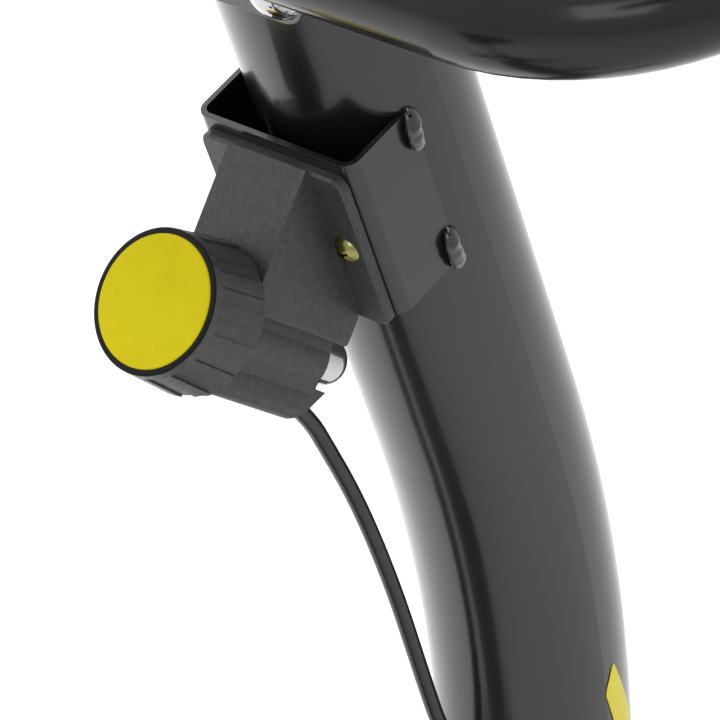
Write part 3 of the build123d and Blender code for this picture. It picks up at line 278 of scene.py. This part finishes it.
FINISH = {
    "post": ("handlebar_post", "tension_bracket", "handlebar_seat", "handlebar_strap"),
    "bar": ("handlebar",),
    "frame": ("base_beam", "stabilizers", "seat_tube", "front_upright", "drive_mounts", "console_bracket"),
    "housing": ("controller_housing",),
    "knob": ("knob_grip", "cable_slider_nut"),
    "disc": ("knob_disc",),
    "plastic": ("end_caps", "seat_tube_sleeve", "post_sleeve_cover", "crank_pulley", "pedal_left", "pedal_right",
                "idler_wheel", "saddle_pan", "seat_pin_knob", "console_rear_shell", "console_bezel"),
    "shroud": ("shroud_left", "shroud_right"),
    "accent": ("console_button",),
    "chrome": ("spindle_dome_cap", "strap_bolts", "crank_arms", "seat_post"),
    "steel": ("frame_bolts", "bearings", "drive_axles", "shroud_screws", "yoke_spring", "crank_axle",
              "pedal_spindles", "magnet_yoke", "inner_wire_end", "knob_spindle", "saddle_nuts", "seat_pin"),
    "zinc": ("controller_screws",),
    "iron": ("flywheel",),
    "nickel": ("yoke_magnets",),
    "stainless": ("pulse_sensors",),
    "rubber": ("cable_grommet", "pedal_strap_left", "pedal_strap_right", "transport_wheel_left",
               "transport_wheel_right"),
    "belt": ("drive_belt",),
    "foam": ("foam_grips",),
    "lens": ("console_lens",),
    "lcd": ("console_display",),
}
for finish, names in FINISH.items():
    for name in names:
        for material_slot in NODES[name].material_slots:
            material_slot.material = MATERIALS[finish]


# ---------------------------------------------------------------- mesh helpers
def mesh_piece(name, points, faces, mat, slot_name, body="root", smooth=True):
    """A new mesh object. Given a slot name, it rides a body."""
    mesh = bpy.data.meshes.new(name)
    mesh.from_pydata([tuple(p) for p in points], [], faces)
    mesh.update()
    piece = bpy.data.objects.new(name, mesh)
    bpy.context.scene.collection.objects.link(piece)
    mesh.materials.append(mat)
    for polygon in mesh.polygons:
        polygon.use_smooth = smooth
    if slot_name:
        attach(piece, body)
    return piece


RECORD = frame["record"]
BODY_OF = {node: body for body, nodes in RECORD["behaviour"]["bodies"].items() for node in nodes}


def rounded(node, width):
    """A copy of a CAD node with its sharp edges broken, as a deburred or moulded edge is."""
    mesh = NODES[node].data.copy()
    mesh.name = node + "_finished"
    piece = bpy.data.objects.new(node + "_finished", mesh)
    bpy.context.scene.collection.objects.link(piece)
    work = bmesh.new()
    work.from_mesh(mesh)
    bmesh.ops.remove_doubles(work, verts=work.verts, dist=2e-6)
    bmesh.ops.dissolve_limit(work, angle_limit=math.radians(0.5), verts=work.verts, edges=work.edges)
    work.to_mesh(mesh)
    work.free()
    imported = mesh.attributes.get("custom_normal")
    if imported:
        mesh.attributes.remove(imported)
    mesh.shade_smooth()
    edge = piece.modifiers.new("broken_edge", "BEVEL")
    edge.width = width
    edge.segments = 2
    edge.limit_method = "ANGLE"
    edge.angle_limit = math.radians(32)
    edge.harden_normals = True
    flats = piece.modifiers.new("flat_faces", "WEIGHTED_NORMAL")
    flats.keep_sharp = True
    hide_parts(node)
    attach(piece, BODY_OF[node])
    return piece


def tube_mesh(points, radii, sides, closed=False, up=None):
    """A tube through points, with its own radius at each. Open ends are capped."""
    count = len(points)
    verts, faces = [], []
    side = None
    for i, point in enumerate(points):
        before = points[(i - 1) % count] if closed or i else point
        after = points[(i + 1) % count] if closed or i < count - 1 else point
        tangent = (after - before).normalized()
        if up is not None:
            side = up.cross(tangent).normalized()
        elif side is None:
            side = tangent.orthogonal().normalized()
        else:
            side = (side - tangent * side.dot(tangent)).normalized()
        over = tangent.cross(side)
        for k in range(sides):
            turn = 2 * math.pi * k / sides
            verts.append(point + side * (radii[i] * math.cos(turn)) + over * (radii[i] * math.sin(turn)))
    for i in range(count if closed else count - 1):
        a, b = i * sides, ((i + 1) % count) * sides
        for k in range(sides):
            faces.append((a + k, a + (k + 1) % sides, b + (k + 1) % sides, b + k))
    if not closed:
        faces.append(tuple(reversed(range(sides))))
        faces.append(tuple(range((count - 1) * sides, count * sides)))
    return verts, faces


# ---------------------------------------------------------------- tension cable
# control points as (y, z), in the plane x = 0
CABLE_ROUTE = [
    (0.19930, 0.89021), (0.20674, 0.88193), (0.21292, 0.87150), (0.22240, 0.85519), (0.23058, 0.83888),
    (0.23778, 0.82260), (0.24444, 0.80631), (0.25039, 0.79015), (0.25648, 0.77341), (0.26220, 0.75835),
    (0.26977, 0.74352), (0.2785, 0.713), (0.288, 0.697), (0.297, 0.678), (0.3035, 0.655),
    (0.3075, 0.625), (0.3095, 0.590), (0.310, 0.555), (0.309, 0.521), (0.306, 0.493),
    (0.297, 0.473), (0.283, 0.463), (0.266, 0.461), (0.252, 0.455), (0.242, 0.443), (0.23682, 0.42529)]
CABLE_DIAMETER = 0.005
curve = bpy.data.curves.new("tension_cable_jacket", "CURVE")
curve.dimensions = "3D"
curve.bevel_depth = CABLE_DIAMETER / 2
curve.bevel_resolution = 6
curve.use_fill_caps = True
spline = curve.splines.new("NURBS")
spline.points.add(len(CABLE_ROUTE) - 1)
for point, (y, z) in zip(spline.points, CABLE_ROUTE):
    point.co = (0.0, y, z, 1.0)
spline.order_u = 3
spline.use_endpoint_u = True
spline.resolution_u = 10
cable = bpy.data.objects.new("tension_cable_jacket", curve)
bpy.context.scene.collection.objects.link(cable)
curve.materials.append(MATERIALS["jacket"])
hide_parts("tension_cable")
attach(cable, "root")


# ---------------------------------------------------------------- welds
def weld_drop(name, middle, lengthways, outward, half_length, half_width, height, seed):
    """A short weld bead under thick paint: overlapping scallops that swell in the middle."""
    across = lengthways.cross(outward).normalized()
    rows, columns = 44, 20
    rng = random.Random(seed)
    shift = rng.random() * 9
    points, faces = [], []
    for i in range(rows + 1):
        s = -1 + 2 * i / rows
        swell = max(1 - abs(s) ** 2.6, 0.0) ** 0.5
        ripple = 1 + 0.05 * math.sin(s * 5 + shift) + 0.02 * math.sin(s * 13 + shift * 2)
        lean = 0.18 * math.sin(s * 2.2 + shift) * half_width
        for k in range(columns):
            turn = 2 * math.pi * k / columns
            wide = half_width * swell * ripple * math.cos(turn) + lean * swell
            tall = height * swell * ripple * math.sin(turn)
            tall *= 1.0 if tall > 0 else 0.5
            points.append(middle + lengthways * (half_length * s) + across * wide + outward * tall)
    for i in range(rows):
        for k in range(columns):
            a, b = i * columns, (i + 1) * columns
            faces.append((a + k, a + (k + 1) % columns, b + (k + 1) % columns, b + k))
    faces.append(tuple(reversed(range(columns))))
    faces.append(tuple(range(rows * columns, (rows + 1) * columns)))
    return mesh_piece(name, points, faces, MATERIALS["weld"], "post_paint")


WELD_HALF_WIDTH = 4.0 * MM
WELD_HEIGHT = 3.0 * MM
for side in (1, -1):
    tag = "right" if side > 0 else "left"
    out = (X_AXIS * (side * 0.85) - NORMAL * 0.53).normalized()
    for level, u, half, seed in (("top", 21.5, 7.2, 4), ("bottom", -23.0, 7.8, 11)):
        weld_drop(f"bracket_weld_{level}_{tag}", at(side * 28.0, 11.5, u), ALONG, out, half * MM,
                  WELD_HALF_WIDTH, WELD_HEIGHT, seed + side)

# ---------------------------------------------------------------- broken edges, widths in mm
BROKEN_EDGES = {
    "tension_bracket": 0.30,
    "controller_housing": 0.35,
    "knob_grip": 0.22,
    "handlebar_strap": 0.40,
    "crank_arms": 0.8,
    "pedal_left": 0.5,
    "pedal_right": 0.5,
    "seat_pin_knob": 0.4,
    "console_bracket": 0.4,
}
for node, width in BROKEN_EDGES.items():
    rounded(node, width * MM)

# the rim round the yellow disc is darker than the knob's side
knob = bpy.data.objects["knob_grip_finished"]
knob.data.materials.append(MATERIALS["knob_rim"])
for polygon in knob.data.polygons:
    depth = (knob.matrix_world @ polygon.center - KNOB_FACE).dot(KNOB_AXIS)
    if polygon.normal.dot(KNOB_AXIS) > 0.55 and depth > -1.0 * MM:
        polygon.material_index = len(knob.data.materials) - 1


# ---------------------------------------------------------------- welds on the main beam
def saddle_weld(name, foot, axis):
    """A fillet weld round a tube that stands on the main beam, which has the tube's own radius."""
    axis = axis.normalized()
    across = axis.cross(X_AXIS)
    points, radii = [], []
    steps = 220
    bead = 2.6 * MM
    for i in range(steps):
        turn = 2 * math.pi * i / steps
        start = foot + X_AXIS * (POST_R * math.cos(turn)) + across * (POST_R * math.sin(turn))
        crown = math.sqrt(max(POST_R ** 2 - start.x ** 2, 0.0))
        reach = (BEAM_Z + crown - start.z) / axis.z
        spot = start + axis * reach
        points.append(spot)
        radii.append(bead * (1 + 0.10 * math.sin(i * 2 * math.pi / 5.0) + 0.12 * noise.noise(spot * 90)))
    verts, faces = tube_mesh(points, radii, 10, closed=True, up=axis)
    return mesh_piece(name, verts, faces, MATERIALS["frame"], "frame_paint")


saddle_weld("seat_tube_weld", SEAT_TUBE_FOOT, SEAT_AXIS)
saddle_weld("front_upright_weld", UPRIGHT_FOOT, Z_AXIS)


# ---------------------------------------------------------------- decals on the post
def post_centre(s):
    """The post's centre line and direction, s metres up along it from where its bend starts."""
    if s < 0:
        return Vector((0, BEND_Y + BEND_R, BEND_Z + s)), Vector((0, 0, 1))
    turn = s / BEND_R
    if turn < LEAN:
        spot = Vector((0, BEND_Y + BEND_R * math.cos(turn), BEND_Z + BEND_R * math.sin(turn)))
        return spot, Vector((0, -math.sin(turn), math.cos(turn)))
    return BEND_END + ALONG * (s - BEND_R * LEAN), ALONG


def on_post(s, phi, lift):
    spot, direction = post_centre(s)
    normal = X_AXIS.cross(direction)
    turn = math.radians(phi)
    return spot + (X_AXIS * math.sin(turn) + normal * math.cos(turn)) * (POST_R + lift)


def edge_angle(edge, s):
    """The angle round the post of a decal's edge, a list of (height in mm, angle) from the top down."""
    for (s0, a0), (s1, a1) in zip(edge, edge[1:]):
        if s1 <= s <= s0:
            return a0 + (a1 - a0) * (s0 - s) / (s0 - s1)
    return edge[-1][1]


def post_decal(name, near_edge, far_edge, mirror_it):
    """A thin vinyl shape on the post between two edges."""
    top, low = near_edge[0][0], near_edge[-1][0]
    rows, columns = 90, 10
    points, faces = [], []
    for lift in (0.10 * MM, 0.22 * MM):
        for i in range(rows + 1):
            s = top + (low - top) * i / rows
            a, b = edge_angle(near_edge, s), edge_angle(far_edge, s)
            for k in range(columns + 1):
                phi = a + (b - a) * k / columns
                points.append(on_post(s * MM, -phi if mirror_it else phi, lift))
    layer = (rows + 1) * (columns + 1)
    for i in range(rows):
        for k in range(columns):
            a = i * (columns + 1) + k
            quad = (a, a + 1, a + columns + 2, a + columns + 1)
            faces.append(quad)
            faces.append(tuple(layer + v for v in reversed(quad)))
    ring = list(range(columns + 1))
    ring += [i * (columns + 1) + columns for i in range(1, rows + 1)]
    ring += [rows * (columns + 1) + k for k in range(columns - 1, -1, -1)]
    ring += [i * (columns + 1) for i in range(rows - 1, 0, -1)]
    for a, b in zip(ring, ring[1:] + ring[:1]):
        faces.append((b, a, layer + a, layer + b))
    return mesh_piece(name, points, faces, MATERIALS["accent"], "yellow_plastic")


FLASH_NEAR = ((72.5, 98.0), (64.5, 89.3), (40, 101), (-60, 112), (-130, 118))
FLASH_FAR = ((72.5, 100.0), (57, 111), (42, 121), (-20, 141), (-60, 146), (-130, 119))
for mirror_it in (False, True):
    tag = "left" if mirror_it else "right"
    post_decal(f"post_flash_{tag}", FLASH_NEAR, FLASH_FAR, mirror_it)


# ---------------------------------------------------------------- saddle
def smooth(low, high, value):
    t = min(max((value - low) / (high - low), 0.0), 1.0)
    return t * t * (3 - 2 * t)


PAN_Z = SADDLE_BASE.z + 0.0043          # underside of the saddle pan
SADDLE_FLOOR = PAN_Z + 0.0124           # underside of the cushion


def saddle_radius():
    """The saddle outline's radius by angle, read from the widest layer of its CAD solid."""
    level = PAN_Z + 0.020
    middle = Vector((0, SADDLE_BASE.y - 0.020, 0))
    rim = []
    for vertex in NODES["saddle_cushion"].data.vertices:
        if abs(vertex.co.z - level) < 0.0004:
            flat = vertex.co - middle
            rim.append((math.atan2(flat.y, flat.x), math.hypot(flat.x, flat.y)))
    rim.sort()
    rim = [(rim[-1][0] - 2 * math.pi, rim[-1][1])] + rim + [(rim[0][0] + 2 * math.pi, rim[0][1])]

    def radius(turn):
        turn = (turn + math.pi) % (2 * math.pi) - math.pi
        for (a0, r0), (a1, r1) in zip(rim, rim[1:]):
            if a0 <= turn <= a1:
                return r0 if a1 == a0 else r0 + (r1 - r0) * (turn - a0) / (a1 - a0)
        return rim[0][1]
    return middle, radius


SADDLE_STEPS = 144
SADDLE_MIDDLE, SADDLE_RADIUS = saddle_radius()
SADDLE_RADII = [SADDLE_RADIUS(2 * math.pi * k / SADDLE_STEPS) for k in range(SADDLE_STEPS)]
for _ in range(2):
    SADDLE_RADII = [(SADDLE_RADII[k - 1] + 2 * SADDLE_RADII[k] + SADDLE_RADII[(k + 1) % SADDLE_STEPS]) / 4
                    for k in range(SADDLE_STEPS)]
# share of the outline's radius, and height above the cushion's underside in mm
SADDLE_PROFILE = ((0.80, 0.0), (0.90, 0.0), (0.955, 0.8), (0.982, 4), (0.995, 9), (1.0, 15), (1.0, 20), (0.992, 24.5),
                  (0.978, 27.5), (0.972, 28.6), (0.974, 30.0), (0.966, 33), (0.940, 38), (0.895, 42.5), (0.83, 45.7),
                  (0.75, 47.4), (0.65, 48.2), (0.54, 48.6), (0.42, 48.8), (0.30, 48.9), (0.18, 49.0), (0.08, 49.0))


def saddle_point(k, share, rise):
    """A point of the cover at step k round it, by its share of the outline's radius and its height in mm."""
    turn = 2 * math.pi * k / SADDLE_STEPS
    reach = SADDLE_RADII[k % SADDLE_STEPS] * share
    spot = SADDLE_MIDDLE + Vector((reach * math.cos(turn), reach * math.sin(turn), 0))
    forward = (spot.y - SADDLE_MIDDLE.y) / MM
    top = smooth(22, 46, rise)
    height = rise
    height -= top * 13.0 * smooth(20, 150, forward)
    height += top * 3.0 * smooth(-20, -95, forward) if forward < -20 else 0.0
    groove = math.exp(-(spot.x / MM / 13.0) ** 2) * smooth(-100, -55, forward) * (1 - smooth(70, 130, forward))
    height -= top * 7.5 * groove
    waist = math.exp(-((abs(spot.x) / MM - 52) / 26.0) ** 2) * math.exp(-((forward + 45) / 42.0) ** 2)
    height += top * 2.2 * waist
    return Vector((spot.x, spot.y, SADDLE_FLOOR + height * MM))


points, faces = [], []
for share, rise in SADDLE_PROFILE:
    points += [saddle_point(k, share, rise) for k in range(SADDLE_STEPS)]
for i in range(len(SADDLE_PROFILE) - 1):
    for k in range(SADDLE_STEPS):
        a, b = i * SADDLE_STEPS, (i + 1) * SADDLE_STEPS
        faces.append((a + k, a + (k + 1) % SADDLE_STEPS, b + (k + 1) % SADDLE_STEPS, b + k))
centre_low = len(points)
points.append(Vector((SADDLE_MIDDLE.x, SADDLE_MIDDLE.y, SADDLE_FLOOR)))
points.append(saddle_point(0, 0.0, 49.0))
last = (len(SADDLE_PROFILE) - 1) * SADDLE_STEPS
for k in range(SADDLE_STEPS):
    faces.append((k, centre_low, (k + 1) % SADDLE_STEPS))
    faces.append((last + k, last + (k + 1) % SADDLE_STEPS, centre_low + 1))
saddle = mesh_piece("saddle_cover", points, faces, MATERIALS["leather"], "saddle_cover", "seat_body")


def puff(piece, pinned, frames, pressure, cap):
    """Presses the cover out from inside as cloth, then keeps the result in the mesh."""
    start = [v.co.copy() for v in piece.data.vertices]
    group = piece.vertex_groups.new(name="pinned")
    group.add(pinned, 1.0, "REPLACE")
    cloth = piece.modifiers.new("cover", "CLOTH")
    facts = cloth.settings
    facts.quality = 8
    facts.mass = 0.25
    facts.tension_stiffness = facts.compression_stiffness = 25
    facts.shear_stiffness = 10
    facts.bending_stiffness = 2.0
    facts.use_pressure = True
    facts.uniform_pressure_force = pressure
    facts.vertex_group_mass = "pinned"
    facts.effector_weights.gravity = 0
    cloth.collision_settings.use_collision = False
    scene = bpy.context.scene
    for step in range(1, frames + 1):
        scene.frame_set(step)
    shaped = piece.evaluated_get(bpy.context.evaluated_depsgraph_get()).to_mesh()
    ends = [v.co.copy() for v in shaped.vertices]
    piece.modifiers.remove(cloth)
    piece.vertex_groups.remove(group)
    scene.frame_set(1)
    for vertex, old, new in zip(piece.data.vertices, start, ends):
        move = new - old
        if move.length > cap:
            move *= cap / move.length
        vertex.co = old + move
    piece.data.update()


held = [v.index for v in saddle.data.vertices
        if v.index < 4 * SADDLE_STEPS or 8 * SADDLE_STEPS <= v.index < 11 * SADDLE_STEPS
        or v.index == centre_low]
puff(saddle, held, 18, 3.0, 2.5 * MM)
rounding = saddle.modifiers.new("smooth_cover", "SUBSURF")
rounding.levels = rounding.render_levels = 1
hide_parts("saddle_cushion")

piping = [saddle_point(k, 0.976, 28.8) for k in range(SADDLE_STEPS)]
verts, faces = tube_mesh(piping, [1.5 * MM] * SADDLE_STEPS, 10, closed=True, up=Z_AXIS)
mesh_piece("saddle_piping", verts, faces, MATERIALS["rubber"], "saddle_cover", "seat_body")


def stitches(name, share, rise):
    """Short raised thread dashes in a row round the saddle."""
    points, faces = [], []
    for k in range(0, SADDLE_STEPS * 2):
        a, b = k / 2, k / 2 + 0.32
        ends = []
        for place in (a, a + 0.08, b - 0.08, b):
            low = int(place)
            mix = place - low
            ends.append(saddle_point(low, share, rise).lerp(saddle_point(low + 1, share, rise), mix))
        ring, shapes = tube_mesh(ends, [0.12 * MM, 0.42 * MM, 0.42 * MM, 0.12 * MM], 6, up=Z_AXIS)
        faces += [tuple(v + len(points) for v in shape) for shape in shapes]
        points += ring
    mesh_piece(name, points, faces, MATERIALS["thread"], "yellow_plastic", "seat_body")


stitches("saddle_stitching", 0.9635, 35.0)


# ---------------------------------------------------------------- foam grips
BAR_CLEARANCE = 14.45 * MM


def foam_grip(side):
    """A foam sleeve on the bar's end: a closed form turned round the grip's axis, with a bore for the bar."""
    end = Vector((side * 0.2553, -0.0098, 1.1903))
    forward = Vector((0, 0.9497, -0.3130)).normalized()
    # distance along the grip from the bar's end, and radius, in mm
    profile = [(-5.0, 0.5), (-5.0, 8.0), (-4.6, 12.5), (-3.2, 15.4), (-0.8, 16.7), (2.0, 17.0)]
    steps = 44
    for i in range(1, steps):
        t = 2.0 + 144.0 * i / steps
        profile.append((t, 16.75 + 0.25 * math.sin(t * 0.9) * smooth(0, 14, t) * smooth(0, 14, 148 - t)))
    profile += [(147.5, 16.9), (149.3, 16.3), (150.0, 15.2), (150.0, 14.5)]
    points = [end + forward * (t * MM) for t, r in profile]
    sides = 48
    verts, faces = [], []
    over = forward.cross(X_AXIS)
    for spot, (t, r) in zip(points, profile):
        for k in range(sides):
            turn = 2 * math.pi * k / sides
            ray = X_AXIS * math.cos(turn) + over * math.sin(turn)
            dent = 0.22 * noise.noise((spot + ray * 0.02) * 60)
            verts.append(spot + ray * ((r + dent * (1.0 if r > 15.3 else 0.0)) * MM))
    for i in range(len(points) - 1):
        a, b = i * sides, (i + 1) * sides
        for k in range(sides):
            faces.append((a + k, a + (k + 1) % sides, b + (k + 1) % sides, b + k))
    faces.append(tuple(reversed(range(sides))))
    inner = len(verts)
    for spot in (points[-1], points[4]):
        for k in range(sides):
            turn = 2 * math.pi * k / sides
            verts.append(spot + (X_AXIS * math.cos(turn) + over * math.sin(turn)) * BAR_CLEARANCE)
    last = (len(points) - 1) * sides
    for k in range(sides):
        faces.append((last + k, last + (k + 1) % sides, inner + (k + 1) % sides, inner + k))
        faces.append((inner + k, inner + (k + 1) % sides, inner + sides + (k + 1) % sides, inner + sides + k))
    faces.append(tuple(range(inner + sides, inner + 2 * sides)))
    tag = "right" if side > 0 else "left"
    return mesh_piece(f"foam_grip_{tag}", verts, faces, MATERIALS["foam"], "foam", "handlebar_body")


for side in (1, -1):
    grip = foam_grip(side)
    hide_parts("foam_grips")

# ---------------------------------------------------------------- console display
CONSOLE_TILT = math.radians(38)
CONSOLE_Z = Vector((0, -math.cos(CONSOLE_TILT), math.sin(CONSOLE_TILT)))
CONSOLE_Y = Vector((0, math.sin(CONSOLE_TILT), math.cos(CONSOLE_TILT)))
CONSOLE_AT = at(0, 4, 224)
DIGIT_LOW, DIGIT_HIGH = 4.08, 4.30      # the printed segments, above the display
BUTTON_Y = -32
RING_R = 14.6


def on_console(x, y, z):
    """A point in millimetres across, up and out from the console's face."""
    return CONSOLE_AT + Vector((x * MM, 0, 0)) + CONSOLE_Y * (y * MM) + CONSOLE_Z * (z * MM)


def prism(outline, points, faces):
    """Adds a printed shape on the display, its outline in order, to a mesh being made."""
    first, count = len(points), len(outline)
    for level in (DIGIT_LOW, DIGIT_HIGH):
        points += [on_console(x, y, level) for x, y in outline]
    faces.append(tuple(first + k for k in reversed(range(count))))
    faces.append(tuple(first + count + k for k in range(count)))
    for k in range(count):
        n = (k + 1) % count
        faces.append((first + k, first + n, first + count + n, first + count + k))


def zero(x, y, height, points, faces):
    """A nought made of six display segments."""
    wide, half, bar = height * 0.52, height / 2, height * 0.075
    bars = ((0, height, True), (wide, half, False), (wide, 0, False), (0, 0, True), (0, 0, False),
            (0, half, False))
    for sx, sy, flat in bars:
        reach = wide if flat else half
        shape = [(bar * 1.3, 0), (bar * 2.2, bar), (reach - bar * 2.2, bar), (reach - bar * 1.3, 0),
                 (reach - bar * 2.2, -bar), (bar * 2.2, -bar)]
        if flat:
            outline = [(x + sx + u, y + sy + v) for u, v in reversed(shape)]
        else:
            outline = [(x + sx + v, y + sy + u) for u, v in shape]
        prism(outline, points, faces)


def rectangle(left, right, low, high):
    return [(left, low), (right, low), (right, high), (left, high)]


points, faces = [], []
for x in (-46, -31, -10, 5):
    zero(x, 4, 20, points, faces)
for dot in (12, 18):
    prism(rectangle(-16.2, -14.2, dot - 1, dot + 1), points, faces)
for x in (28, 37):
    zero(x, 4, 11, points, faces)
for i in range(12):
    left = -47 + i * 8
    prism(rectangle(left, left + 5.5, 29, 30 + 2.2 + 3.4 * math.sin(0.28 * i)), points, faces)
mesh_piece("display_digits", points, faces, MATERIALS["segment"], "lcd", smooth=False)

ring_points = []
for k in range(72):
    turn = 2 * math.pi * k / 72
    ring_points.append(on_console(RING_R * math.cos(turn), BUTTON_Y + RING_R * math.sin(turn), 7.0))
verts, faces = tube_mesh(ring_points, [0.7 * MM] * 72, 10, closed=True, up=CONSOLE_Z)
mesh_piece("button_ring", verts, faces, MATERIALS["chrome"], "chrome_parts")


# ---------------------------------------------------------------- accents on the housing
CRANK_CENTRE = (-40, 300)
HOUSING_SIDE = 56.05      # just proud of the housing's flat side
VINYL = 0.18


def side_strip(name, side, radius, wide, start, stop):
    """A tapered arc of thin vinyl round the crank on the housing's flat side."""
    steps = 90
    middle_y, middle_z = CRANK_CENTRE
    points, faces = [], []
    outer, inner = [], []
    for i in range(steps + 1):
        t = i / steps
        turn = math.radians(start + (stop - start) * t)
        half = wide / 2 * (math.sin(math.pi * t) ** 0.6)
        for edge, reach in ((outer, radius + half), (inner, radius - half)):
            edge.append((middle_y + reach * math.cos(turn), middle_z + reach * math.sin(turn)))
    for x in (HOUSING_SIDE, HOUSING_SIDE + VINYL):
        points += [Vector((side * x, y, z)) * MM for y, z in outer + inner]
    row = steps + 1
    layer = 2 * row
    for i in range(steps):
        quad = (i, i + 1, row + i + 1, row + i)
        top = tuple(layer + v for v in quad)
        faces += [quad, tuple(reversed(top))] if side > 0 else [tuple(reversed(quad)), top]
        faces.append((i + 1, i, layer + i, layer + i + 1))
        faces.append((row + i, row + i + 1, layer + row + i + 1, layer + row + i))
    piece = mesh_piece(name, points, faces, MATERIALS["accent"], "yellow_plastic", smooth=False)
    work = bmesh.new()
    work.from_mesh(piece.data)
    bmesh.ops.remove_doubles(work, verts=work.verts, dist=1e-7)
    bmesh.ops.recalc_face_normals(work, faces=work.faces)
    work.to_mesh(piece.data)
    work.free()
    return piece


for side in (1, -1):
    tag = "right" if side > 0 else "left"
    side_strip(f"housing_flash_{tag}", side, 112, 13, 62, 196)
    side_strip(f"housing_line_{tag}", side, 97, 3.2, 70, 176)

# ---------------------------------------------------------------- floor and light
floor_mat = new_material("pale_floor", grey(0.86), 0.7)
vary(floor_mat, 3, grey(0.85), grey(0.88), 0.65, 0.8)
FLOOR_HALF = 60
corners = [(-FLOOR_HALF, -FLOOR_HALF, 0), (FLOOR_HALF, -FLOOR_HALF, 0),
           (FLOOR_HALF, FLOOR_HALF, 0), (-FLOOR_HALF, FLOOR_HALF, 0)]
floor = mesh_piece("studio_floor", corners, [(0, 1, 2, 3)], floor_mat, None)

world = bpy.data.worlds.new("studio_light")
bpy.context.scene.world = world
world.use_nodes = True
world.node_tree.nodes["Background"].inputs["Color"].default_value = (1.0, 1.0, 1.0, 1.0)
world.node_tree.nodes["Background"].inputs["Strength"].default_value = 0.72


def softbox(name, place, target, size, power):
    data = bpy.data.lights.new(name, "AREA")
    data.shape = "RECTANGLE"
    data.size, data.size_y = size
    data.energy = power
    lamp = bpy.data.objects.new(name, data)
    bpy.context.scene.collection.objects.link(lamp)
    lamp.location = place
    lamp.rotation_euler = (Vector(target) - Vector(place)).to_track_quat("-Z", "Y").to_euler()


softbox("softbox_top", (-0.2, 0.0, 3.6), (-0.1, 0.1, 0.6), (2.2, 2.2), 42)
softbox("softbox_back_left", (-2.6, 1.6, 2.4), (-0.9, 1.0, 0.0), (2.2, 2.2), 72)
softbox("softbox_front", (1.4, -1.9, 2.4), (0.7, -0.9, 0.2), (1.4, 1.4), 12)
softbox("softbox_left", (-2.4, -1.2, 1.5), (0, 0.2, 0.9), (1.2, 2.0), 20)

view = bpy.context.scene.view_settings
view.view_transform = "Standard"
view.look = "None"
view.exposure = 0.0
